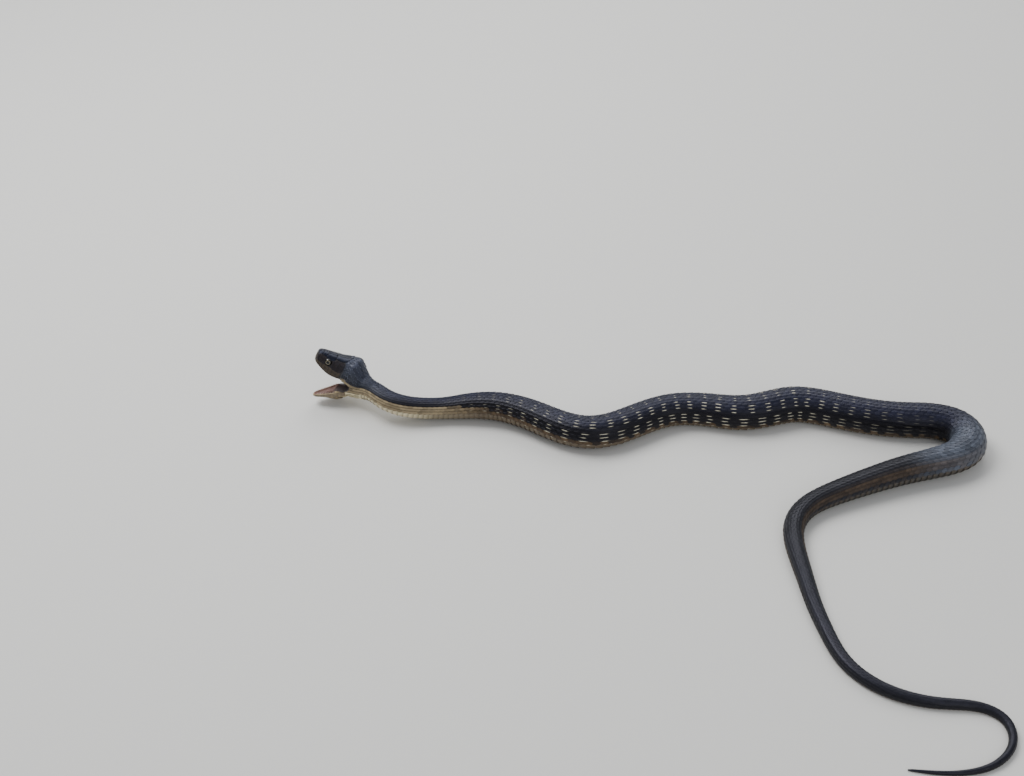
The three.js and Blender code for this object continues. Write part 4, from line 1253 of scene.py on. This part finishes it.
def scale_points(count, row, side, middle, lot):
    """World points of many scales of one row, their places, and whether each lies well."""
    spread = STRETCHED_COVER + (1 - STRETCHED_COVER) * ease(*COVER_COMES, middle)
    spread = (spread * (1 + (1 - spread) * (lot - 0.5)))[:, None]
    centre = 0.5 + (SCALE_ALONG[None, :] - 0.5) * spread
    place = place_at(count[:, None] + SCALE_OVERLAP * centre)
    girth, half = row_place(row, place)
    girth = side * girth + SCALE_ACROSS * SCALE_HALF * half * SCALE_BREADTH * spread
    slim = np.minimum(along(HALF_WIDTH, middle) / SLENDER, 1)
    rise = template_rise(row < len(SCALE_ROWS))[None, :] * slim[:, None]
    points = body_point(np.maximum(place, 0), girth, rise)
    near = middle < DRAPE_END
    kept = np.ones(len(count), bool)
    if near.any():
        laid, kept[near] = laid_scales(points[near], rise[near], FARTHEST_DRAPE)
        share = ease(DRAPE_END, DRAPE_END - DRAPE_FADE, middle[near])[:, None, None]
        points[near] += (laid - points[near]) * share
    return on_floor(points, SCALE_ALONG, SCALE_LOWER), place, kept


def bake_patch(start, end, place, height, across, lengthwise):
    """Patches of scales on the bake map: place along the body by a share of the map's height."""
    u = PATCH_MARGIN + (1 - 2 * PATCH_MARGIN) * (place - start) / (end - start)
    u = u[:, None] + PATCH * (lengthwise - 0.5)
    v = np.broadcast_to(height, place.shape)[:, None] + PATCH * 0.5 * across
    return np.stack([np.clip(u, 0, 1), np.clip(v, 0, 1)], axis=-1)


def add_scales(batches, values, points, marks, patch, kept=slice(None)):
    """Adds the scales that are kept to the batches, with the marks that each carries."""
    for label, numbers in marks.items():
        values.setdefault(label, []).append(np.broadcast_to(numbers, points.shape[:2])[kept].ravel())
    batches["points"].append(points[kept].reshape(-1, 3))
    batches["patch"].append(patch[kept].reshape(-1, 2))


def scale_marks(place, girth, dash, lot):
    """What scales with their middles here carry at each of their points."""
    marks = {label: shares[:, None] for label, shares in pigments(place, girth).items()}
    return {**marks, "dash": dash, "lot": lot[:, None], "edge": SCALE_EDGE}


def scale_patch(start, end, place, girth):
    height = PATCH_MARGIN + (1 - 2 * PATCH_MARGIN) * (girth + 1) / 2
    return bake_patch(start, end, place, height, SCALE_ACROSS, SCALE_ALONG)


def row_counts(row, start, end):
    """Counts and middle places of one row's scales whose roots lie between two places."""
    row_start = ROW_START if row_place(row, FOLD_END)[0] < FOLD_GIRTH else FOLD_END
    first, last = np.interp([max(start, row_start), end], COUNT_PLACES, COUNTS)
    count = np.arange(math.ceil(first), math.ceil(last)) + 0.5 * (row % 2)
    middle = place_at(count + 0.5 * SCALE_OVERLAP)
    row_end = BODY_END - TAIL_TIP_BARE
    if row > len(SCALE_ROWS):
        row_end = THROAT_END
    elif row > 0:
        row_end = SCALE_ROWS[row - 1][1] - ROW_CLOSING / 2
    return count[middle < row_end], middle[middle < row_end]


def add_temple_scales(batches, values, start, end):
    """The temple scales that no scale of the rows covers, marked as the skin under them."""
    rows = np.concatenate(batches["points"]).reshape(-1, len(SCALE_ALONG), 3)
    tree = search_tree(rows.mean(axis=1))
    temple = temple_scales()
    free = [tree.find(middle)[2] > TEMPLE_GAP for middle in temple.mean(axis=1)]
    temple = temple[np.array(free)]
    place, girth = nearest_place(temple.mean(axis=1))
    marks = scale_marks(place, girth, 0.0, rng.random(len(temple)))
    add_scales(batches, values, temple, marks, scale_patch(start, end, np.maximum(place, start), girth))


def scales_between(name, start, end):
    """All keeled scales whose roots lie between two places, as one piece."""
    batches, values = {"points": [], "patch": []}, {}
    rows = len(SCALE_ROWS)
    extra = THROAT_ROWS if start < THROAT_END else 0
    for row in range(rows + extra + 1):
        for side in ((1,) if row in (0, rows + THROAT_ROWS) else (1, -1)):
            count, middle = row_counts(row, start, end)
            if not len(count):
                continue
            lot = rng.random(len(count))
            points, place, kept = scale_points(count, row, side, middle, lot)
            girth = side * row_place(row, middle)[0]
            border = np.where(SCALE_ACROSS * side > 0, row, max(row - 1, 0))
            dash = dashes(place, np.broadcast_to(border, points.shape[:2]))
            marks = scale_marks(middle, girth, dash, lot)
            add_scales(batches, values, points, marks, scale_patch(start, end, middle, girth), kept)
    if start < THROAT_END:
        add_temple_scales(batches, values, start, end)
    points, patch = np.concatenate(batches["points"]), np.concatenate(batches["patch"])
    each = len(SCALE_ALONG)
    template = turned_out(points[:each] - points[:each].mean(axis=0), SCALE_FACES)
    faces = repeated(template, each, len(points) // each)
    values = {label: np.concatenate(parts) for label, parts in values.items()}
    return new_piece(name, points, faces, scale_finish, values, patch, sharp=50)


# Belly scutes, and the paired ones under the tail

SCUTE_STEPS = np.array([0, 0.4, 0.75, 0.94, 1.0])
SCUTE_COLUMNS = 27
SCUTE_OVERLAP = 1.3
SCUTE_RISE = 0.3
SCUTE_THICKNESS = 0.18
FIRST_SCUTE = 20
VENT = 694
PAIR_SEAM = 0.012
# How far the scutes' ends tuck under the last row of scales, and how far they curl in between
# these shares of their width from the middle. The last stretch of the tail has none.
SCUTE_TUCK = 0.01
END_CURL = 0.35
CURL_COMES = [0.44, 0.5]
SCUTES_STOP = 4
# Height of each kind's patches on the bake map.
SCUTE_PATCHES = {"whole": 0.02, "left": 0.03, "right": 0.97}


def scute_template(columns):
    """Across, along and lower of one scute's points, as a closed plate, and its faces."""
    steps = len(SCUTE_STEPS)
    across = np.tile(np.tile(np.linspace(0, 1, columns), steps), 2)
    lengthwise = np.tile(np.repeat(SCUTE_STEPS, columns), 2)
    lower = np.repeat([0.0, 1.0], columns * steps)
    under = columns * steps
    faces = []
    for i in range(steps - 1):
        for j in range(columns - 1):
            a = i * columns + j
            faces.append([a, a + 1, a + columns + 1, a + columns])
            faces.append([under + a + columns, under + a + columns + 1, under + a + 1, under + a])
        for a in (i * columns, i * columns + columns - 1):
            left_edge = a == i * columns
            side = [under + a, a, a + columns, under + a + columns]
            faces.append(side if left_edge else side[::-1])
    for j in range(columns - 1):
        last = (steps - 1) * columns + j
        faces.append([j + 1, j, under + j, under + j + 1])
        faces.append([last, last + 1, under + last + 1, under + last])
    return across, lengthwise, lower, faces


def scutes_between(name, start, end):
    """Belly scutes from one place to another, paired beyond the vent."""
    stretch = [max(start, FIRST_SCUTE), min(end, BODY_END - SCUTES_STOP)]
    first, last = np.interp(stretch, COUNT_PLACES, COUNTS)
    count = np.arange(math.ceil(first), math.ceil(last), dtype=float)
    whole = place_at(count) < VENT
    batches, values, faces = {"points": [], "patch": []}, {}, []
    for kind, height in SCUTE_PATCHES.items():
        chosen = count[whole] if kind == "whole" else count[~whole] + (0.5 if kind == "right" else 0)
        if not len(chosen):
            continue
        columns = SCUTE_COLUMNS if kind == "whole" else SCUTE_COLUMNS // 2
        across, lengthwise, lower, template = scute_template(columns)
        low = 0.5 + PAIR_SEAM if kind == "right" else 0
        high = 0.5 - PAIR_SEAM if kind == "left" else 1
        share = low + (high - low) * across
        place = np.minimum(place_at(chosen[:, None] + SCUTE_OVERLAP * lengthwise), BODY_END)
        edge = np.interp(place, GRID_PLACES, BELLY_GIRTH) - SCUTE_TUCK
        girth = edge + (2 - 2 * edge) * share
        slim = np.minimum(along(HALF_WIDTH, place) / SLENDER, 1)
        curl = END_CURL * ease(*CURL_COMES, np.abs(share - 0.5))
        rise = -ROOT_DEPTH + (ROOT_DEPTH + SCUTE_RISE) * lengthwise**RISE_POWER
        rise = (rise - SCUTE_THICKNESS * lower - curl) * slim
        made = on_floor(body_point(place, girth, rise), lengthwise, lower)
        marks = {"root": 1 - lengthwise, "lot": rng.random(len(chosen))[:, None]}
        marks.update(pigments(place, np.ones_like(place)))
        base = sum(len(batch) for batch in batches["points"])
        shaped = turned_out(made[0] - made[0].mean(axis=0), template)
        shaped = [[corner + base for corner in face] for face in shaped]
        faces += repeated(shaped, len(across), len(chosen))
        patch = bake_patch(start, end, place_at(chosen + 0.5), height, 2 * across - 1, lengthwise)
        add_scales(batches, values, made, marks, patch)
    points, patch = np.concatenate(batches["points"]), np.concatenate(batches["patch"])
    values = {label: np.concatenate(parts) for label, parts in values.items()}
    return new_piece(name, points, faces, belly_finish, values, patch, sharp=40)


# Head shields

# Outlines as [x, share of the arc from the crown's middle to the lip]. Neighbours share
# their corners, and every shield is then drawn in by half a seam.
SHIELD_SEAM = 0.1
CROWN_PAIRS = [
    [[20.4, 0], [20.2, 0.29], [18.2, 0.34], [17.0, 0.36], [16.6, 0.22], [16.4, 0]],
    [
        [16.4, 0], [16.6, 0.22], [17.0, 0.36], [14.8, 0.39], [14.0, 0.39], [13.0, 0.27],
        [12.6, 0.16], [12.4, 0],
    ],
    [
        [12.6, 0.16], [13.0, 0.27], [14.0, 0.39], [12.6, 0.46], [9.8, 0.46], [7.4, 0.41],
        [6.6, 0.32], [6.3, 0.15], [8.5, 0.14],
    ],
    [
        [5.2, 0], [6.3, 0.15], [6.6, 0.32], [5.6, 0.35], [2.0, 0.37], [-1.0, 0.35], [-3.4, 0.22],
        [-4.2, 0.08], [-3.6, 0],
    ],
]
FRONTAL = [
    [12.4, 0], [12.6, 0.16], [8.5, 0.14], [6.3, 0.15], [5.2, 0], [6.3, -0.15], [8.5, -0.14], [12.6, -0.16],
]
CHEEK_SHIELDS = [
    [[20.2, 0.29], [20.3, 0.52], [20.2, 0.77], [18.5, 0.77], [18.75, 0.62], [18.5, 0.5], [18.2, 0.34]],
    [[18.2, 0.34], [18.3, 0.5], [18.05, 0.62], [18.3, 0.77], [16.9, 0.77], [16.7, 0.52], [17.0, 0.36]],
    [[17.0, 0.36], [16.7, 0.52], [16.9, 0.77], [15.6, 0.77], [15.4, 0.56], [15.5, 0.38]],
    [[15.5, 0.38], [15.4, 0.56], [15.6, 0.77], [13.9, 0.74], [12.8, 0.66], [12.6, 0.57], [12.8, 0.47],
     [14.0, 0.39]],
    [[10.0, 0.45], [7.4, 0.41], [7.2, 0.51], [9.4, 0.52]],
    [[9.4, 0.52], [7.2, 0.51], [7.1, 0.62], [9.4, 0.63]],
    [[9.4, 0.63], [7.1, 0.62], [7.2, 0.75], [10.0, 0.7]],
    [[7.4, 0.41], [5.6, 0.36], [3.9, 0.38], [3.7, 0.56], [4.2, 0.77], [7.2, 0.75], [7.1, 0.62], [7.2, 0.51]],
    [[3.9, 0.38], [1.2, 0.38], [-0.8, 0.43], [-0.4, 0.56], [3.7, 0.56]],
    [[3.7, 0.56], [-0.4, 0.56], [-0.5, 0.68], [0.4, 0.77], [4.2, 0.77]],
]
UPPER_LABIAL_EDGES = [20.2, 17.4, 14.9, 12.5, 9.7, 6.8, 3.9, 0.6]
UPPER_LABIAL_TOPS = [0.77, 0.77, 0.76, 0.69, 0.69, 0.75, 0.77, 0.77]
LIP_SHARE = 0.985
ROSTRAL = [
    [-2.7, -1.0], [2.7, -1.0], [3.0, 0.4], [2.6, 2.2], [1.6, 4.6], [-1.6, 4.6], [-2.6, 2.2], [-3.0, 0.4],
]
# On the jaw the share runs from the lip to the middle under the chin.
LOWER_LABIAL_EDGES = [23.6, 21.6, 19.6, 17.2, 14.6, 11.9, 9.2, 6.4, 3.4, 0.8]
LOWER_LABIAL_SPAN = [0.03, 0.34]
CHIN_PAIRS = [
    [[23.4, 0.5], [21.6, 0.42], [17.4, 0.44], [16.9, 0.97], [22.4, 0.97]],
    [[16.9, 0.97], [17.4, 0.44], [14.6, 0.42], [10.4, 0.5], [10.0, 0.85], [13.0, 0.97]],
]
# Small scales between the chin shields and the throat: their reach along the jaw and over its
# side, each with the step, and the outline of one.
GULAR_REACH = [9.2, 3.5, -1.6]
GULAR_SHARES = [0.42, 0.95, 0.14]
GULAR_OUTLINE = [[1.2, 0], [0.5, 0.062], [-0.9, 0.05], [-1.3, 0], [-0.9, -0.05], [0.5, -0.062]]
MENTAL = [[24.3, -0.5], [24.3, 0.5], [23.3, 1.1], [22.8, 0], [23.3, -1.1]]
SHIELD_EDGE_STEP = 0.3
# Rings of a shield from its root up: how far in from its outline, and the rise over the head.
SHIELD_BEVEL = [[0, -0.45], [0, 0.0], [0.1, 0.1], [0.28, 0.15]]
SHIELD_DOME = [[0.4, 0.18], [0.75, 0.21]]
SHIELD_TOP = 0.22
EYE_CLEARANCE = 2.6
EYE_SEARCH_STEPS = 101
# Share of its cell that one shield or tooth takes up on the bake map.
CELL_SHARE = 0.7


def eye_middle():
    """The eye's place on the arc of the head's side, in millimetres."""
    shares = np.linspace(0, 1, EYE_SEARCH_STEPS)
    heights = head_side(np.full_like(shares, EYE_PLACE[0]), shares)[:, 2]
    return np.array([EYE_PLACE[0], shares[np.argmin(np.abs(heights - EYE_PLACE[2]))] * HEAD_ARC])


EYE_MIDDLE = eye_middle()


def clear_of_eye(points):
    """Points inside the eye's ring moved out to it, so the shields border the eye."""
    away = points - EYE_MIDDLE
    distance = np.linalg.norm(away, axis=-1, keepdims=True)
    return np.where(distance < EYE_CLEARANCE, EYE_MIDDLE + unit(away) * EYE_CLEARANCE, points)


def evenly(points):
    """The closed outline again in even steps along its own run."""
    closed = np.vstack([points, points[:1]])
    arc = run_along(closed)
    even = np.linspace(0, arc[-1], int(arc[-1] / SHIELD_EDGE_STEP), endpoint=False)
    return np.stack([np.interp(even, arc, closed[:, k]) for k in (0, 1)], axis=-1)


def rounded_outline(outline, on_head):
    """The outline in even short steps, its corners softened, drawn in by half a seam."""
    corners = np.array(outline, float)
    steps = []
    for a, b in zip(corners, np.roll(corners, -1, axis=0)):
        parts = max(int(np.linalg.norm(b - a) / SHIELD_EDGE_STEP), 1)
        steps.extend(a + (b - a) * k / parts for k in range(parts))
    points = evenly(clear_of_eye(np.array(steps))) if on_head else np.array(steps)
    for _ in range(2):
        points = (np.roll(points, 1, axis=0) + 2 * points + np.roll(points, -1, axis=0)) / 4
    return drawn_in(points, SHIELD_SEAM / 2)


def drawn_in(points, distance):
    """The outline moved inwards, square to its own run."""
    run = unit(np.roll(points, -1, axis=0) - np.roll(points, 1, axis=0))
    square = np.stack([-run[:, 1], run[:, 0]], axis=-1)
    after = np.roll(points, -1, axis=0)
    area = (points[:, 0] * after[:, 1] - after[:, 0] * points[:, 1]).sum()
    return points + square * distance * np.sign(area)


def raised_on(surface, u, v, rise, outward_x):
    """Points over a surface of the head, pushed out along its normals."""
    step = 0.05
    point = surface(u, v)
    normal = unit(np.cross(surface(u + step, v) - point, surface(u, v + step) - point))
    near_middle = point * [0, 1 - outward_x, 1 - outward_x]
    away = near_middle + [outward_x, 0, outward_x - 1]
    return point + normal * np.sign((normal * away).sum(axis=-1, keepdims=True)) * rise


def shield(surface, outline, to_world, arc=1.0, outward_x=0.0, **marks):
    """One head shield: a low plate with a bevelled edge, its root in the skin."""
    edge = rounded_outline(np.array(outline) * [1, arc], arc == HEAD_ARC)
    middle = edge.mean(axis=0)
    rings = [(edge + unit(middle - edge) * inset, rise) for inset, rise in SHIELD_BEVEL]
    inner = rings[-1][0]
    rings += [(inner + (middle - inner) * inset, rise) for inset, rise in SHIELD_DOME]
    rings += [(middle[None], SHIELD_TOP), (middle[None], SHIELD_BEVEL[0][1])]
    points = np.concatenate([
        to_world(raised_on(surface, ring[:, 0], ring[:, 1] / arc, rise, outward_x)) for ring, rise in rings
    ])
    seam = np.concatenate([np.full(len(ring), 1.0 if rise <= 0 else 0.0) for ring, rise in rings])
    sides = len(edge)
    count = len(rings) - 2
    faces = loft_faces(count, sides)[:-2]
    for j in range(sides):
        k = (j + 1) % sides
        faces.append([(count - 1) * sides + j, (count - 1) * sides + k, count * sides])
        faces.append([k, j, count * sides + 1])
    values = {"seam": seam, "lot": np.full(len(points), rng.random())}
    for label in ("brown", "lip"):
        values[label] = np.full(len(points), marks.get(label, 0.0))
    return points, turned_out(points - points.mean(axis=0), faces), values


def labial_outlines(edges, tops, lip):
    return [
        [[front, lip], [front, top], [rear, rear_top], [rear, lip]]
        for front, rear, top, rear_top in zip(edges, edges[1:], tops, tops[1:])
    ]


def chin_surface(x, y):
    sine = np.clip(np.abs(y) / along(JAW_WIDTH, x), 0, 1) ** (1 / JAW_CHEEK_SQUARENESS)
    share = (1 - sine**2) ** (KEEL_SQUARENESS / 2)
    lip = along(JAW_LIP, x)
    return np.stack([x + 0 * y, y + 0 * x, lip - (lip + along(JAW_DEPTH, x)) * share], axis=-1)


def joined(parts, name, finish, sharp=None):
    """One piece from many closed parts of (points, faces, values), each with its own patch."""
    points, faces, values, patches = [], [], {}, []
    start = 0
    across = math.ceil(math.sqrt(len(parts)))
    for number, (part, part_faces, part_values) in enumerate(parts):
        points.append(part)
        faces.extend([corner + start for corner in face] for face in part_faces)
        start += len(part)
        for label, numbers in part_values.items():
            values.setdefault(label, []).append(numbers)
        cell = np.array([number % across, number // across]) + 0.5
        size = np.ptp(part, axis=0).max()
        local = (part - part.mean(axis=0))[:, :2] / size
        patches.append((cell + CELL_SHARE * local) / across)
    values = {label: np.concatenate(parts) for label, parts in values.items()}
    return new_piece(name, np.concatenate(points), faces, finish, values, np.concatenate(patches), sharp)


def head_shields():
    parts = [
        shield(head_side, FRONTAL, head_point, HEAD_ARC),
        shield(snout_face, ROSTRAL, head_point, outward_x=1.0, brown=0.8, lip=0.3),
    ]
    for side in (1, -1):
        def cheek(x, share, side=side):
            return head_side(x, share, side)
        for outline in CROWN_PAIRS:
            parts.append(shield(cheek, outline, head_point, HEAD_ARC, brown=0.05))
        for outline in CHEEK_SHIELDS:
            parts.append(shield(cheek, outline, head_point, HEAD_ARC, brown=0.9, lip=0.05))
        for outline in labial_outlines(UPPER_LABIAL_EDGES, UPPER_LABIAL_TOPS, LIP_SHARE):
            parts.append(shield(cheek, outline, head_point, HEAD_ARC, brown=1.0, lip=0.2))
    return joined(parts, "head_shields", shield_finish)


def gular_outlines():
    outlines = []
    for number, x in enumerate(np.arange(*GULAR_REACH)):
        for share in np.arange(*GULAR_SHARES) + 0.5 * GULAR_SHARES[2] * (number % 2):
            outlines.append([[x + ahead, share + around] for ahead, around in GULAR_OUTLINE])
    return outlines


def jaw_shields():
    parts = [shield(chin_surface, MENTAL, jaw_point, brown=1.0, lip=0.8)]
    low, high = LOWER_LABIAL_SPAN
    tops = [high] * len(LOWER_LABIAL_EDGES)
    for side in (1, -1):
        def cheek(x, share, side=side):
            return jaw_side(x, share, side)
        for outline in labial_outlines(LOWER_LABIAL_EDGES, tops, low):
            parts.append(shield(cheek, outline, jaw_point, JAW_ARC, brown=1.0, lip=0.8))
        for outline in CHIN_PAIRS + gular_outlines():
            parts.append(shield(cheek, outline, jaw_point, JAW_ARC, brown=1.0, lip=1.0))
    return joined(parts, "jaw_shields", shield_finish)


# Eyes and teeth

EYE_TURN = [0.22, 1.0, 0.06]
EYE_PLAY = 0.02
EYE_SIDES = 64
TOOTH_LENGTH = 1.4
TOOTH_RADIUS = 0.3
TOOTH_POINT = 0.02
TOOTH_TAPER = 0.8
TOOTH_CURVE = 0.35
TOOTH_ROOT = 0.8
TOOTH_RAKE = 0.8
LIP_TEETH = {"count": 8, "first": 3, "pitch": 2.1, "inset": 1.7, "rise": 0.8}
PALATE_TEETH = {"count": 6, "first": 2, "pitch": 2.2, "half": 2.6, "rise": 2.6}
JAW_TEETH = {"count": 8, "first": 7.5, "pitch": 1.9, "inset": 1.5, "rise": -0.5}


def make_eye(name, node, side):
    centre = np.array(EYE_PLACE) * [1, side, 1]
    eye = ball(name, centre, [EYE_RADIUS - EYE_PLAY] * 3, head_point, EYE_SIDES)
    points, _ = mesh_arrays(eye)
    facing = (to_head(points) - centre) / EYE_RADIUS @ unit(np.array(EYE_TURN) * [1, side, 1])
    off_axis = np.sqrt(np.maximum(1 - facing**2, 0)) + (facing < 0)
    finished(eye, {"off_axis": off_axis}, eye_finish)
    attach(eye, "root")
    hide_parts(node)
    return eye


def tooth(root, tip, back):
    """Slender tooth that curves back towards the throat."""
    sides, rings = 10, 7
    turn = np.linspace(0, 2 * np.pi, sides, endpoint=False)
    axis = unit(tip - root)
    across = unit(np.cross(axis, back))
    circle = np.outer(np.cos(turn), across) + np.outer(np.sin(turn), np.cross(axis, across))
    points = []
    for t in np.linspace(0, 1, rings):
        centre = root - axis * TOOTH_ROOT * (1 - t) + (tip - root) * t + back * TOOTH_CURVE * (t * t - t)
        points.append(centre + (TOOTH_RADIUS * (1 - t) ** TOOTH_TAPER + TOOTH_POINT) * circle)
    points = np.concatenate(points)
    return points, turned_out(points - points.mean(axis=0), loft_faces(rings, sides)), {}


def tooth_row(row, where, to_world, direction):
    teeth = []
    for i in range(row["count"]):
        x = row["first"] + row["pitch"] * i
        y, z = where(x)
        root = to_world([x, y, z])
        tip = to_world([x - TOOTH_RAKE, y, z + direction * TOOTH_LENGTH])
        teeth.append(tooth(root, tip, -HEAD_AXES[0]))
    return teeth


def all_teeth():
    teeth = []
    for side in (1, -1):
        def lip_row(x, side=side):
            width = along(HEAD_WIDTH, x) + along(LIP_FLARE, x) - LIP_TEETH["inset"]
            return side * width, along(UPPER_LIP, x) + LIP_TEETH["rise"]

        def palate_row(x, side=side):
            return side * PALATE_TEETH["half"], along(UPPER_LIP, x) + PALATE_TEETH["rise"]

        def jaw_row(x, side=side):
            return side * (along(JAW_WIDTH, x) - JAW_TEETH["inset"]), along(JAW_LIP, x) + JAW_TEETH["rise"]
        teeth += tooth_row(LIP_TEETH, lip_row, head_point, -1)
        teeth += tooth_row(PALATE_TEETH, palate_row, head_point, -1)
        teeth += tooth_row(JAW_TEETH, jaw_row, jaw_point, 1)
    return joined(teeth, "teeth", tooth_finish)


# Assembly

FLESH_NODES = [
    "head", "lower_jaw", "neck", "trunk_1", "trunk_2", "trunk_3", "trunk_4", "trunk_5",
    "trunk_6", "trunk_7", "trunk_8", "tail_1", "tail_2", "tail_3",
]
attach(skin, "root")
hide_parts(*FLESH_NODES)

COAT_LENGTHS = [
    ("neck", -2, 110), ("fore", 110, 270), ("middle", 270, 430), ("rear", 430, 600),
    ("tail", 600, BODY_END),
]
for name, start, end in COAT_LENGTHS:
    for piece in (scales_between(f"{name}_scales", start, end), scutes_between(f"{name}_scutes", start, end)):
        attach(piece, "root")

crown = head_shields()
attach(crown, "root")
chin = jaw_shields()
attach(chin, "root")
teeth = all_teeth()
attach(teeth, "root")
make_eye("left_eye", "eye_left", 1)
make_eye("right_eye", "eye_right", -1)

# Floor, light and camera

AIM = np.array([-93.45, 169.98, 0])
CAMERA_DISTANCE = 1100.3
CAMERA_HEIGHT_ANGLE = 40
FIELD_OF_VIEW = 38
FILM_WIDTH = 36
NEAREST_SEEN, FARTHEST_SEEN = 0.05, 20
FLOOR_REACH = 3000


def studio_floor():
    """Matt painted board, plain and pale."""
    material, _, shader, _ = new_material("painted board")
    fill(shader, Base_Color="#d9d8d4", Roughness=0.9)
    corners = np.array([[-1, -1, 0], [1, -1, 0], [1, 1, 0], [-1, 1, 0]]) * FLOOR_REACH
    floor = new_piece("studio_floor", corners, [[0, 1, 2, 3]], material)


def soft_light(name, place, width, power):
    light = bpy.data.lights.new(name, "AREA")
    light.shape = "DISK"
    light.size = width
    light.energy = power
    lamp = bpy.data.objects.new(name, light)
    lamp.location = place
    lamp.rotation_euler = (-Vector(place)).to_track_quat("-Z", "Y").to_euler()
    bpy.context.scene.collection.objects.link(lamp)


def studio_camera():
    camera = bpy.data.cameras.new("camera")
    camera.sensor_width = FILM_WIDTH
    camera.lens = FILM_WIDTH / 2 / math.tan(radians(FIELD_OF_VIEW / 2))
    camera.clip_start, camera.clip_end = NEAREST_SEEN, FARTHEST_SEEN
    holder = bpy.data.objects.new("camera", camera)
    angle = radians(CAMERA_HEIGHT_ANGLE)
    back = np.array([0, -math.cos(angle), math.sin(angle)]) * CAMERA_DISTANCE
    holder.location = (AIM + back) * MM
    holder.rotation_euler = (math.pi / 2 - angle, 0, 0)
    bpy.context.scene.collection.objects.link(holder)
    bpy.context.scene.camera = holder


studio_floor()
soft_light("key", (-0.7, 0.5, 1.2), 0.9, 18)
soft_light("rear sky", (0.2, 1.3, 1.1), 1.2, 12)
soft_light("fill", (0.6, -1.2, 1.0), 1.2, 6)
world = bpy.data.worlds.new("studio")
world.use_nodes = True
fill(world.node_tree.nodes["Background"], Color="#dfe3ea", Strength=0.55)
bpy.context.scene.world = world
studio_camera()
